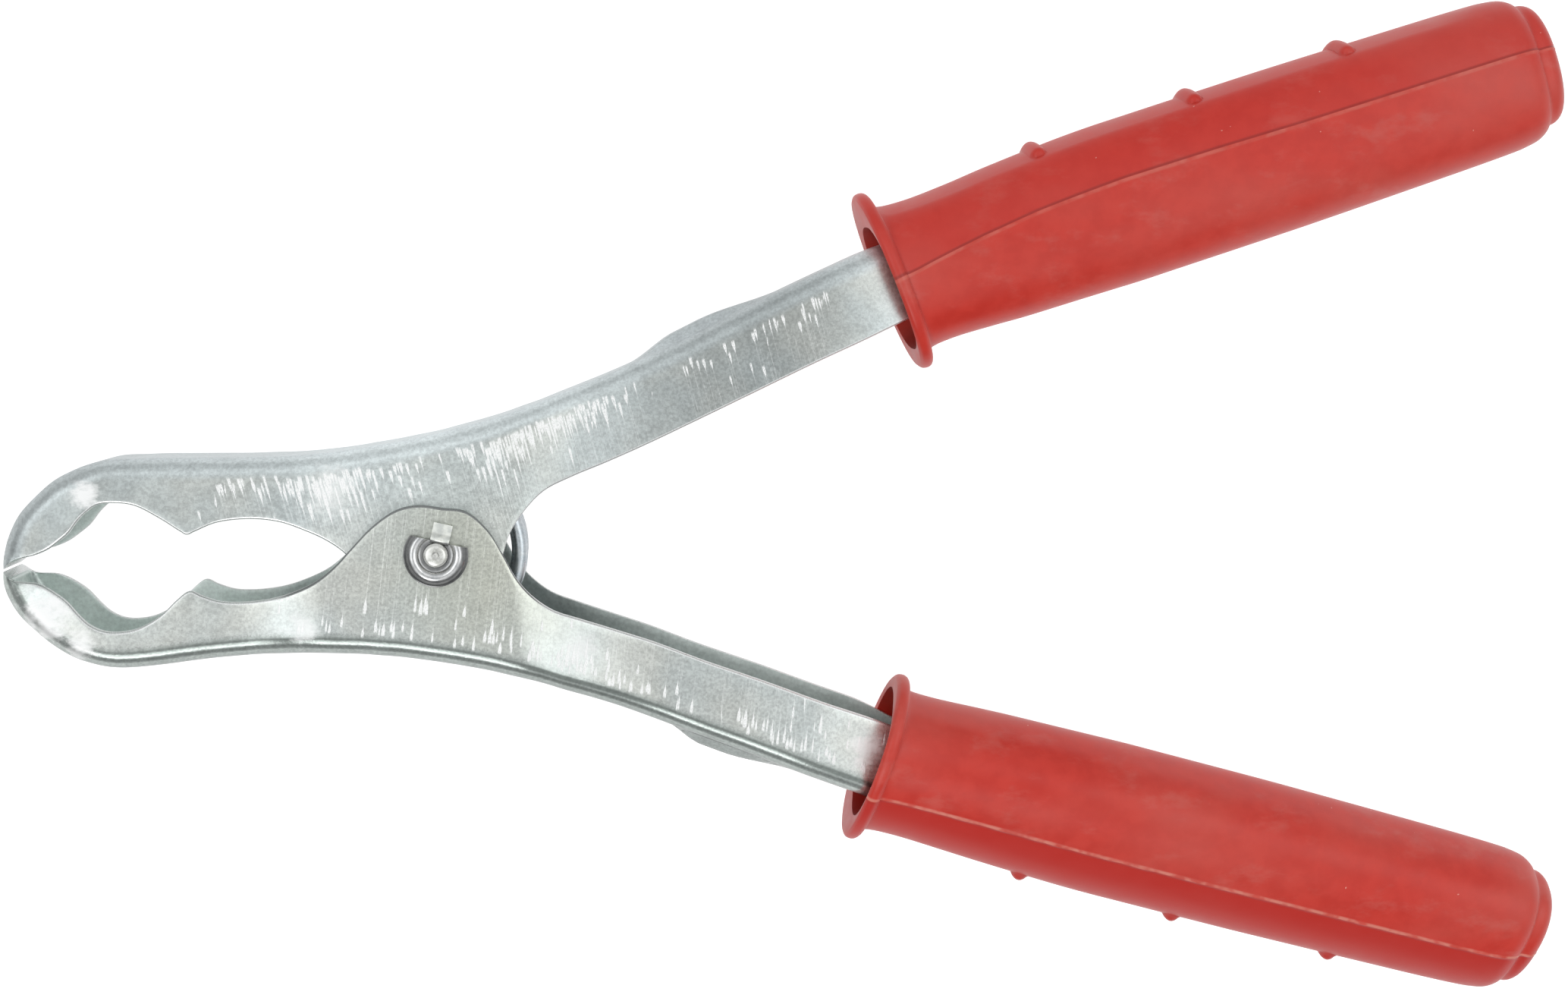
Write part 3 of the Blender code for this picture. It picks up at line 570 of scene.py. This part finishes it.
def drawn_wire(name, route, radius, around, material):
    """Round wire swept along its route without twist, with its cut ends broken by a small chamfer."""
    tangents = [(route[min(i + 1, len(route) - 1)] - route[max(i - 1, 0)]).normalized()
                for i in range(len(route))]
    across = tangents[0].orthogonal().normalized()
    stations = []
    for point, tangent in zip(route, tangents):
        across = (across - tangent * across.dot(tangent)).normalized()
        stations.append((point, across.copy(), tangent.cross(across), radius))
    chamfer = 0.25 * radius
    for end, inward in ((0, 1), (-1, -1)):
        point, side, up, _ = stations[end]
        blunt = (point, side, up, radius - chamfer)
        back = (point + tangents[end] * chamfer * inward, side, up, radius)
        stations[end] = back
        stations.insert(0 if end == 0 else len(stations), blunt)
    bm = bmesh.new()
    rings = []
    for point, side, up, r in stations:
        turn = [2 * math.pi * k / around for k in range(around)]
        rings.append([bm.verts.new((point + (side * math.cos(a) + up * math.sin(a)) * r) * MM) for a in turn])
    for a, b in zip(rings, rings[1:]):
        for k in range(around):
            n = (k + 1) % around
            bm.faces.new((a[k], a[n], b[n], b[k]))
    bm.faces.new(rings[0])
    bm.faces.new(rings[-1])
    bmesh.ops.recalc_face_normals(bm, faces=bm.faces)
    return show(name, bm, [material])


def plated_wire(name):
    """Spring wire: bluish zinc plate with draw lines and duller streaks."""
    material, tree, shader, place, _ = start_material(name)
    streak = cloud(tree, place, 1.6, 3.0, 0.6)
    grain = cloud(tree, place, 0.3, 2.0, 0.6)
    colour = tint(tree, fade(tree, streak, 0.3, 0.7), (0.56, 0.62, 0.67), (0.74, 0.78, 0.80))
    colour = tint(tree, 1.0, colour, fade(tree, grain, 0.25, 0.75, 0.9, 1.08), "MULTIPLY")
    dress(tree, shader, colour, 0.92, fade(tree, streak, 0.2, 0.8, 0.22, 0.36), grain, 0.25)
    return material


wound_spring = drawn_wire("wound_spring", wire_route(), WIRE_R, WIRE_SIDES, plated_wire("plated_wire"))
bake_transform(wound_spring)
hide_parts("torsion_spring")


# ---------------------------------------------------------------------------------------------
# The pivot pin, of turned steel. Its head is underneath, and its upper end stands out of the
# clip, flat and a little domed at the rim, with one round centre punch mark.
# ---------------------------------------------------------------------------------------------
PIN_R = 1.6
HEAD_R = 3.6
HEAD_T = 1.6
PUNCH_R = 0.48
PUNCH_DEPTH = 0.22
pin_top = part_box("pivot_pin")[1].z / MM
rim = [(PIN_R - 0.55 * (1 - math.sin(a)), pin_top - 0.08 - 0.5 * (1 - math.cos(a)))
       for a in (math.radians(15 * k) for k in range(1, 7))]
head_edge = [(HEAD_R - 0.35 * (1 - math.cos(a)), 0.35 * (1 - math.sin(a)))
             for a in (math.radians(15 * k) for k in range(7))]
head_shoulder = [(HEAD_R - 0.2 * (1 - math.sin(a)), HEAD_T - 0.2 * (1 - math.cos(a)))
                 for a in (math.radians(15 * k) for k in range(7))]
turned_pin = turned("turned_pin", [
    (0, pin_top - PUNCH_DEPTH), (0.6 * PUNCH_R, pin_top - 0.8 * PUNCH_DEPTH),
    (0.92 * PUNCH_R, pin_top - 0.05), (1.12 * PUNCH_R, pin_top), (1.6 * PUNCH_R, pin_top - 0.03),
    (0.95, pin_top - 0.06), *rim, (PIN_R, HEAD_T), *head_shoulder, *head_edge, (0, 0)], False,
    turned_steel("pin_steel", (0.66, 0.66, 0.62), (0.84, 0.84, 0.82), 0.95, 0.26, 0.5))
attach(turned_pin, "lower_lever")
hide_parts("pivot_pin")


# ---------------------------------------------------------------------------------------------
# The retaining clip, a dished half-moon of bright spring steel pushed over the pin's end. A raised
# bead runs round it, and a tab is folded up from its straight side and laid back on the ear.
# ---------------------------------------------------------------------------------------------
CLIP_T = 0.5
CLIP_CHORD = 1.8        # way from the pin's axis to the straight side
CLIP_TURN = math.radians(-13.0)
CLIP_SECTION = [(1.68, 0.22), (2.05, 0.24), (2.45, 0.34), (2.75, 0.58), (3.0, 0.68), (3.25, 0.58),
                (3.55, 0.28), (3.85, 0.08), (4.1, 0.0)]
TAB_X = 0.1
TAB_HALF = 1.25
TAB_SECTION = [(1.65, 0.30), (1.75, 0.62), (2.0, 0.85), (2.3, 0.78), (2.55, 0.52), (2.9, 0.36), (3.4, 0.33),
               (4.2, 0.33)]
TAB_T = 0.3
CLIP_STEPS = 72
CLIP_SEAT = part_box("retaining_clip")[0].z / MM


def thicken(section, thickness):
    """Closed outline round an open one: its underside, and its upper side set off squarely from it."""
    upper = []
    for i, (u, v) in enumerate(section):
        du = section[min(i + 1, len(section) - 1)][0] - section[max(i - 1, 0)][0]
        dv = section[min(i + 1, len(section) - 1)][1] - section[max(i - 1, 0)][1]
        size = math.hypot(du, dv)
        upper.append((u - thickness * dv / size, v + thickness * du / size))
    return list(section) + upper[::-1]


def loft(bm, rings):
    """Closed body through the rings of points, capped at both ends."""
    verts = [[bm.verts.new(p) for p in ring] for ring in rings]
    count = len(verts[0])
    for a, b in zip(verts, verts[1:]):
        for k in range(count):
            n = (k + 1) % count
            bm.faces.new((a[k], a[n], b[n], b[k]))
    bm.faces.new(verts[0])
    bm.faces.new(verts[-1])


def press_clip(name, material):
    """The half-moon, turned about the pin as far as its straight side lets it, and the folded tab."""
    bm = bmesh.new()
    outline = thicken(spline(CLIP_SECTION, 3), CLIP_T)
    rings = []
    for k in range(CLIP_STEPS + 1):
        ring = []
        for radius, height in outline:
            limit = math.asin(min(CLIP_CHORD / radius, 1.0))
            a = math.pi - limit + (math.pi + 2 * limit) * k / CLIP_STEPS + CLIP_TURN
            ring.append(Vector((radius * math.cos(a), radius * math.sin(a), CLIP_SEAT + height)) * MM)
        rings.append(ring)
    loft(bm, rings)
    outline = thicken(spline(TAB_SECTION, 3), TAB_T)
    middle = 0.5 * (TAB_SECTION[0][1] + TAB_SECTION[-1][1])
    rings = []
    for share in (-1.0, -0.96, 0.96, 1.0):
        draw = 0.04 if abs(share) == 1.0 else 0.0
        ring = []
        for y, height in outline:
            x = TAB_X + share * TAB_HALF
            spot = Vector((x, y, CLIP_SEAT + height - draw * (height - middle)))
            spot.rotate(Euler((0, 0, CLIP_TURN)))
            ring.append(spot * MM)
        rings.append(ring)
    loft(bm, rings)
    bmesh.ops.recalc_face_normals(bm, faces=bm.faces)
    return show(name, bm, [material], 50.0)


def bright_spring_steel(name):
    """Polished strip with haze and hairlines: a painted highlight on the bead, painted shade by the rim, and
    a dull tab painted lighter.
    """
    material, tree, shader, place, where = start_material(name)
    haze = cloud(tree, place, 0.9, 3.0, 0.6)
    lines = cloud(tree, place, 0.2, 2.0, 0.6, (1.0, 4.0, 1.0))
    colour = tint(tree, fade(tree, haze, 0.3, 0.7), (0.52, 0.53, 0.54), (0.72, 0.72, 0.72))
    from_pin = apart(tree, where[0], where[1], (0.0, 0.0))
    # Painted light and shade by distance from the pin: highlight on the bead, shade by the rim; the tab is
    # painted lighter.
    painted_bead_light = curve(tree, from_pin, [(1.6, 0.55), (2.5, 0.75), (2.85, 1.3), (3.05, 1.35), (3.3, 0.7),
                                  (3.6, 0.45), (3.95, 0.35), (4.1, 0.2)])
    across = calc(tree, "MULTIPLY_ADD", where[0], -math.sin(CLIP_TURN),
                  calc(tree, "MULTIPLY", where[1], math.cos(CLIP_TURN)))
    tab = fade(tree, across, CLIP_CHORD, CLIP_CHORD + 0.2)
    painted_bead_light = tint(tree, tab, painted_bead_light, (1.25, 1.27, 1.2))
    colour = tint(tree, 1.0, colour, painted_bead_light, "MULTIPLY")
    rough = calc(tree, "MULTIPLY_ADD", tab, 0.3, fade(tree, lines, 0.2, 0.8, 0.12, 0.24))
    dress(tree, shader, colour, 1.0, rough, haze, 0.2)
    return material


pressed_clip = press_clip("pressed_clip", bright_spring_steel("bright_spring_steel"))
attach(pressed_clip, "lower_lever")
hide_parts("retaining_clip")


# ---------------------------------------------------------------------------------------------
# The two grips, moulded in soft red plastic and pushed on the handles. Each has a flange at its
# mouth, a crowned outer panel with three ribs, a parting line on each side and a stepped end.
# ---------------------------------------------------------------------------------------------
# "angle" is the slope of the axis and "roll" the turn on the handle, in degrees. "tilt", "sag" and "reach"
# set the mouth askew, to one side and forward, and "flatten" scales the height. "ribs" are ways along the
# axis. "shut" and "flash" are shares of the parting line's painted shadow and of its bead's tint, and the
# next is the share of painted shade, a deeper red, on the outer side beyond the line. "seam" is (way along,
# degrees that the line is off the middle).
UPPER_GRIP = {"centre": (97.9, 48.47), "angle": 18.2, "roll": 2.0, "tilt": 3.9, "sag": 0.45,
              "flatten": 1.0, "reach": 0.0, "ribs": (-14.7, 8.0, 30.2), "seed": 4.0,
              "shut": 0.55, "flash": 0.25, "painted_far_shade": 0.35,
              "seam": [(-39, 2), (-36, 4), (-33, 7), (-30, 9.5), (-26, 12), (-18, 15), (-5, 16.5), (8, 15.8),
                       (20, 14.3), (56, 13)]}
LOWER_GRIP = {"centre": (97.55, -40.15), "angle": -15.4, "roll": -30.0, "tilt": -2.0, "sag": -0.25,
              "flatten": 0.975, "reach": 1.2, "ribs": (-15.6, 7.0, 30.4), "seed": 19.0,
              "shut": 0.2, "flash": 0.7, "painted_far_shade": 0.9,
              "seam": [(-39, 0), (56, 0)]}
GRIP_OUTSIDE = [  # way along the axis, half height, half depth, roundness exponent
    (-39.2, 12.1, 9.3, 2.2), (-38.8, 12.6, 9.75, 2.2), (-38.0, 12.7, 9.8, 2.2), (-37.4, 12.2, 9.4, 2.2),
    (-37.0, 10.4, 8.9, 2.3), (-33.0, 9.95, 8.7, 2.4), (-27.0, 10.2, 8.7, 2.5), (-21.0, 10.6, 8.7, 2.5),
    (-8.0, 11.1, 8.8, 2.5), (0.0, 11.15, 8.8, 2.5), (14.0, 11.15, 8.8, 2.5), (22.0, 11.1, 8.7, 2.5),
    (36.0, 10.9, 8.6, 2.5), (45.0, 10.75, 8.5, 2.5), (51.0, 10.55, 8.25, 2.5), (53.3, 10.2, 7.9, 2.5),
    (54.7, 9.5, 7.2, 2.5), (55.3, 8.7, 6.5, 2.5), (56.6, 8.5, 6.3, 2.5), (57.6, 7.8, 5.7, 2.4),
    (58.3, 6.2, 4.5, 2.3), (58.7, 3.6, 2.6, 2.2)]
GRIP_BORE = [   # the same, and how far the bore lies off centre, away from the outer side
    (40.0, 6.0, 5.9, 2.2, 0.0), (38.0, 6.6, 6.5, 2.2, 0.0), (0.0, 6.9, 6.8, 2.2, 0.0),
    (-24.0, 7.3, 7.2, 2.3, 0.0), (-29.0, 7.7, 7.4, 2.4, 0.1), (-33.5, 8.2, 7.8, 2.5, 0.4),
    (-37.0, 8.7, 8.1, 2.6, 0.75), (-39.0, 8.9, 8.3, 2.6, 0.85)]
FLANGE_BACK = -37.2     # way along where the flange ends and the panel starts
BODY_FROM = -27.0       # the body between these has a section at every millimetre
BODY_TO = 51.0
PANEL_ENDS = (42.0, 50.0)   # the crowned panel sinks into the round between these
SIDES = 120
RIB_H = 0.95
RIB_HALF = 1.2
RIB_SPREAD = 42.0       # degrees either side of the outer face
RIB_ROUND = 8.0         # degrees over which each end of a rib is rounded
CREASE_AT = 0.86        # share of the half height at which the outer panel's edge lies
FLASH_H = 0.22          # bead of flash left on the parting line
FLASH_HALF = 1.6        # degrees
SEAM_RADIUS = math.radians(9.2)     # millimetres round the grip for each degree


def grip_turns():
    """Angles round a grip: even steps, and close ones at the parting line on either side."""
    turns = {round(360.0 * k / SIDES, 3) for k in range(SIDES)}
    for side in (90.0, 270.0):
        turns |= {side + share * FLASH_HALF for share in (-1.0, -0.5, 0.5, 1.0)}
    return sorted(turns)


def grip_stations(ribs):
    """(way along, half height, half depth, exponent, way aside, rib, panel) from flange to end."""
    flange = spline(GRIP_OUTSIDE[:7], 5)
    body = spline(GRIP_OUTSIDE[5:16], 24)
    end = spline(GRIP_OUTSIDE[14:], 5)
    places = [BODY_FROM + k for k in range(int(BODY_TO - BODY_FROM) + 1)]
    for rib_at in ribs:
        places += [rib_at + RIB_HALF * k / 8 + 0.01 for k in range(-10, 11)]
    stations = [row for row in flange if row[0] < BODY_FROM]
    for s in sorted(places):
        i = max(k for k in range(len(body) - 1) if body[k][0] <= s)
        t = (s - body[i][0]) / (body[i + 1][0] - body[i][0])
        stations.append((s, *(p + (q - p) * t for p, q in zip(body[i][1:], body[i + 1][1:]))))
    stations += [row for row in end if row[0] > BODY_TO + 0.05]
    out = []
    for s, a, b, power in stations:
        rib = max((1 - ((s - at) / RIB_HALF) ** 2 for at in ribs if abs(s - at) < RIB_HALF), default=0.0)
        panel = swell(s, (FLANGE_BACK, FLANGE_BACK + 1.0, *PANEL_ENDS))
        out.append((s, a, b, power, 0.0, rib, panel))
    return out


def curve_value(stops, at):
    """Value at a place along (place, value) stops, straight between them."""
    if at <= stops[0][0]:
        return stops[0][1]
    for (p, low), (q, high) in zip(stops, stops[1:]):
        if at <= q:
            return low + (high - low) * (at - p) / (q - p)
    return stops[-1][1]


def grip_spot(spec, outward, s, n, z):
    """Place of a point of the grip, from its way along the axis and its offsets from it."""
    full = math.radians(spec["tilt"]) * outward
    tilt = full * (1 - smooth_step((s + 36.0) / 14.0))
    roll = math.radians(spec["roll"])
    n *= spec["flatten"]
    n, z = n * math.cos(roll) - z * math.sin(roll), n * math.sin(roll) + z * math.cos(roll)
    s -= n * math.tan(tilt) + spec["reach"] * (1 - smooth_step((s + 38.0) / 22.0))
    n = n * outward - spec["sag"] * (1 - smooth_step((s + 34.0) / 26.0))
    axis = math.radians(spec["angle"])
    cx, cy = spec["centre"]
    x = cx + s * math.cos(axis) - n * math.sin(axis)
    y = cy + s * math.sin(axis) + n * math.cos(axis)
    return Vector((x, y, MID_Z + z)) * MM


def grip_ring(spec, outward, station, turns):
    """One section of a grip, with its ribs, its crowned panel and the bead on the parting lines."""
    s, a, b, power, aside, rib, panel = station
    seam_shift = curve_value(spec["seam"], s)
    crease_z = b * (1 - CREASE_AT ** power) ** (1 / power)
    on_body = 0.0 if aside else smooth_step(s - FLANGE_BACK)
    ring = []
    for turn in turns:
        angle = math.radians(turn - seam_shift * math.sin(math.radians(turn)))
        ca, sa = math.cos(angle), math.sin(angle)
        scale = (abs(ca) ** power + abs(sa) ** power) ** (-1.0 / power)
        over = max(0.0, (min(turn, 360.0 - turn) - RIB_SPREAD + RIB_ROUND) / RIB_ROUND)
        lift = RIB_H * max(0.0, rib - over ** 2) ** 0.75
        from_seam = min(abs(turn - 90.0), abs(turn - 270.0)) / FLASH_HALF
        wander = 0.6 + 0.8 * noise.noise(Vector((s * 0.4, spec["seed"], turn * 0.1)))
        lift += FLASH_H * max(0.0, wander) * max(0.0, 1 - from_seam) * on_body
        n, z = a * scale * ca - aside, b * scale * sa
        if ca > 0 and abs(z) < crease_z:
            crowned = a - a * (1 - CREASE_AT) * (abs(z) / crease_z) ** 1.6
            n += (crowned - n) * panel
        steep = math.hypot(n / a ** 2, z / b ** 2)
        n, z = n + lift * n / a ** 2 / steep, z + lift * z / b ** 2 / steep
        ring.append(grip_spot(spec, outward, s, n, z))
    return ring


def mould_grip(name, spec, outward, material):
    """Closed sleeve: up the bore, round the flange, along the outside and over the end."""
    turns = grip_turns()
    count = len(turns)
    bore = [(*row, 0.0, 0.0) for row in spline(GRIP_BORE, 4)]
    stations = bore + grip_stations(spec["ribs"])
    bm = bmesh.new()
    mould = bm.loops.layers.uv.new("mould")     # way across the parting line, way along
    rings = [[bm.verts.new(p) for p in grip_ring(spec, outward, st, turns)] for st in stations]
    ways = [st[0] for st in stations]
    for cap, end in ((stations[0], 0), (stations[-1], len(rings))):
        s, a, b, power = cap[:4]
        for share in (0.92, 0.75, 0.5, 0.25):
            flat = grip_ring(spec, outward, (s, a * share, b * share, power, 0.0, 0.0, 0.0), turns)
            rings.insert(0 if end == 0 else len(rings), [bm.verts.new(p) for p in flat])
            ways.insert(0 if end == 0 else len(ways), s)
    seam_side = [(90.0 - min(turn, 360.0 - turn)) * SEAM_RADIUS for turn in turns]
    for a, b, s, t in zip(rings, rings[1:], ways, ways[1:]):
        for k in range(count):
            n = (k + 1) % count
            face = bm.faces.new((a[k], a[n], b[n], b[k]))
            for loop, side, way in zip(face.loops, (k, n, n, k), (s, s, t, t)):
                loop[mould].uv = (seam_side[side], way)
    for ring in (rings[0], rings[-1]):
        hub = bm.verts.new(sum((v.co for v in ring), Vector()) / count)
        for k in range(count):
            bm.faces.new((ring[k], ring[(k + 1) % count], hub))
    bmesh.ops.recalc_face_normals(bm, faces=bm.faces)
    return show(name, bm, [material], 50.0)


def red_plastic(name, look):
    """Soft red plastic: pale patches that are partly dusting and partly painted sheen, smears, a few specks,
    orange peel, and a parting line with a pale bead tint, a painted shadow and painted shade beyond it.
    """
    material, tree, shader, place, _ = start_material(name)
    moved = node(tree, "Mapping", {"Vector": place, "Location": (look["seed"], 0.0, 0.0)}).outputs[0]
    # Pale patches, partly dusting and partly painted sheen.
    bloom_and_sheen = fade(tree, cloud(tree, moved, 20.0, 4.0, 0.5, (0.5, 1.0, 1.0)), 0.42, 0.75)
    dapple = cloud(tree, moved, 3.0, 3.0, 0.6)
    peel = cloud(tree, moved, 0.45, 2.0, 0.6)
    speck = fade(tree, cloud(tree, moved, 0.6, 0.0), 0.90, 0.915)
    colour = tint(tree, fade(tree, dapple, 0.3, 0.7), (0.57, 0.020, 0.008), (0.63, 0.030, 0.015))
    colour = tint(tree, calc(tree, "MULTIPLY", bloom_and_sheen, 0.5), colour, (0.60, 0.11, 0.085))
    colour = tint(tree, calc(tree, "MULTIPLY", speck, 0.6), colour, (0.85, 0.45, 0.38))
    smudge = fade(tree, cloud(tree, moved, 7.0, 5.0, 0.65, (0.7, 1.3, 1.0)), 0.52, 0.72)
    colour = tint(tree, calc(tree, "MULTIPLY", smudge, 0.3), colour, (0.62, 0.16, 0.13))
    mould = node(tree, "UVMap", uv_map="mould").outputs[0]
    aside = node(tree, "SeparateXYZ", {0: mould}).outputs[0]
    # Painted shade: a deeper red on the outer side beyond the parting line, strongest on the lower grip.
    colour = tint(tree, calc(tree, "MULTIPLY", fade(tree, aside, -0.1, 0.3), look["painted_far_shade"]), colour,
                  (0.52, 0.010, 0.003))
    uneven = fade(tree, cloud(tree, moved, 2.5, 2.0), 0.35, 0.6)
    shut = calc(tree, "MULTIPLY", fade(tree, aside, 0.0, 0.12), fade(tree, aside, 0.5, 0.2))
    colour = tint(tree, calc(tree, "MULTIPLY", shut, look["shut"]), colour, (0.22, 0.012, 0.010))
    flash = calc(tree, "MULTIPLY", fade(tree, aside, -0.45, -0.15), fade(tree, aside, 0.1, 0.0))
    flash = calc(tree, "MULTIPLY", flash, calc(tree, "MULTIPLY_ADD", uneven, look["flash"], 0.12))
    colour = tint(tree, flash, colour, (0.72, 0.24, 0.18))
    fine = dress(tree, shader, colour, 0.0, fade(tree, dapple, 0.2, 0.8, 0.34, 0.43), peel, 0.25)
    shader.inputs["Specular IOR Level"].default_value = 0.5
    shader.inputs["Sheen Weight"].default_value = 0.12
    shader.inputs["Sheen Roughness"].default_value = 0.4
    wave = node(tree, "Bump", {"Strength": 0.4, "Distance": 0.25 * MM, "Height": cloud(tree, moved, 9.0, 1.0),
                               "Normal": fine})
    tree.links.new(wave.outputs[0], shader.inputs["Normal"])
    return material


for level, spec, outward in (("upper", UPPER_GRIP, 1.0), ("lower", LOWER_GRIP, -1.0)):
    grip = mould_grip(level + "_moulded_grip", spec, outward, red_plastic(level + "_red_plastic", spec))
    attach(grip, level + "_lever")
    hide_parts(level + "_grip")


# ---------------------------------------------------------------------------------------------
# The table, a plain pale sheet that the pliers lie on, and the soft room light over it: bright
# all round, calmer straight overhead, and darker low down on the side where one would stand. One
# small lamp on that side adds a little.
# ---------------------------------------------------------------------------------------------
TABLE_HALF = 2000.0
TABLE_SPOT = (50.0, 0.0, -0.5)
FLANK_LIGHT = 0.85      # added on both sides, beyond the handles and the jaws
table_bm = bmesh.new()
bmesh.ops.create_grid(table_bm, x_segments=1, y_segments=1, size=TABLE_HALF * MM)
bmesh.ops.translate(table_bm, verts=table_bm.verts, vec=Vector(TABLE_SPOT) * MM)
table_white, tree, shader, place, _ = start_material("table_white")
paper = cloud(tree, place, 1.2, 3.0)
tree.links.new(tint(tree, paper, (0.34, 0.34, 0.34), (0.37, 0.37, 0.37)), shader.inputs["Base Color"])
shader.inputs["Roughness"].default_value = 0.9
shader.inputs["Specular IOR Level"].default_value = 0.1
shader.inputs["Emission Color"].default_value = (1, 1, 1, 1)
seen = node(tree, "LightPath").outputs["Is Camera Ray"]
tree.links.new(calc(tree, "MULTIPLY_ADD", seen, 0.35, 0.6), shader.inputs["Emission Strength"])
table = show("table", table_bm, [table_white])

room = bpy.data.worlds.new("room_light")
bpy.context.scene.world = room
room.use_nodes = True
tree = room.node_tree
away = node(tree, "TexCoord").outputs["Generated"]
east, north, up = node(tree, "SeparateXYZ", {0: away}).outputs
dome = curve(tree, up, [(-1.0, 0.62), (0.0, 0.62), (0.55, 0.66), (0.80, 0.84), (0.88, 0.84), (0.955, 0.62),
                        (0.985, 0.52), (1.0, 0.50)])
side = calc(tree, "MULTIPLY_ADD", calc(tree, "ABSOLUTE", east), 0.35, north)
flank = calc(tree, "MULTIPLY", fade(tree, up, 0.975, 0.93), fade(tree, up, 0.60, 0.75))
flank = calc(tree, "MULTIPLY", flank, fade(tree, side, -0.12, 0.02))
flank = calc(tree, "MULTIPLY", flank, fade(tree, north, 0.42, 0.25))
standing = calc(tree, "ADD", calc(tree, "MULTIPLY", east, -0.30), calc(tree, "MULTIPLY", north, -0.95))
before = fade(tree, standing, 0.1, 0.5)
stage_light = curve(tree, up, [(-1.0, 1.0), (-0.15, 0.9), (0.0, 0.75), (0.18, 0.62), (0.30, 0.42),
                               (0.45, 0.42), (0.54, 0.7), (0.62, 1.0), (0.72, 1.05), (0.78, 1.0),
                               (1.0, 1.0)])
light = calc(tree, "MULTIPLY_ADD", flank, FLANK_LIGHT, dome)
toward_us = calc(tree, "MULTIPLY_ADD", before, calc(tree, "SUBTRACT", stage_light, 1.0), 1.0)
light = calc(tree, "MULTIPLY", light, toward_us)
sky = tree.nodes["Background"]
tree.links.new(tint(tree, 1.0, light, (0.985, 1.0, 1.0), "MULTIPLY"), sky.inputs["Color"])
sky.inputs["Strength"].default_value = 1.0

LAMP_SPOT = Vector((-250.0, -750.0, 900.0)) * MM
LAMP_AIM = Vector((40.0, 0.0, 10.0)) * MM
lamp = bpy.data.lights.new("front_side", "AREA")
lamp.shape = "DISK"
lamp.size = 500.0 * MM
lamp.energy = 2.0
soft_box = bpy.data.objects.new("front_side", lamp)
soft_box.location = LAMP_SPOT
soft_box.rotation_euler = (LAMP_AIM - LAMP_SPOT).to_track_quat("-Z", "Y").to_euler()
bpy.context.scene.collection.objects.link(soft_box)


# ---------------------------------------------------------------------------------------------
# The camera, almost straight above, a little to the jaws' side of the middle and up the table.
# ---------------------------------------------------------------------------------------------
CAMERA_SPOT = Vector((14.57, 28.86, 352.69)) * MM
CAMERA_LEAN = (math.radians(-3.771), math.radians(-5.415), 0.0)
lens = bpy.data.cameras.new("overhead")
lens.sensor_width = 36.0
lens.lens = 57.47
lens.clip_start = 0.01
lens.clip_end = 10.0
overhead = bpy.data.objects.new("overhead", lens)
overhead.location = CAMERA_SPOT
overhead.rotation_euler = CAMERA_LEAN
bpy.context.scene.collection.objects.link(overhead)
bpy.context.scene.camera = overhead
bpy.context.scene.view_settings.view_transform = "Standard"
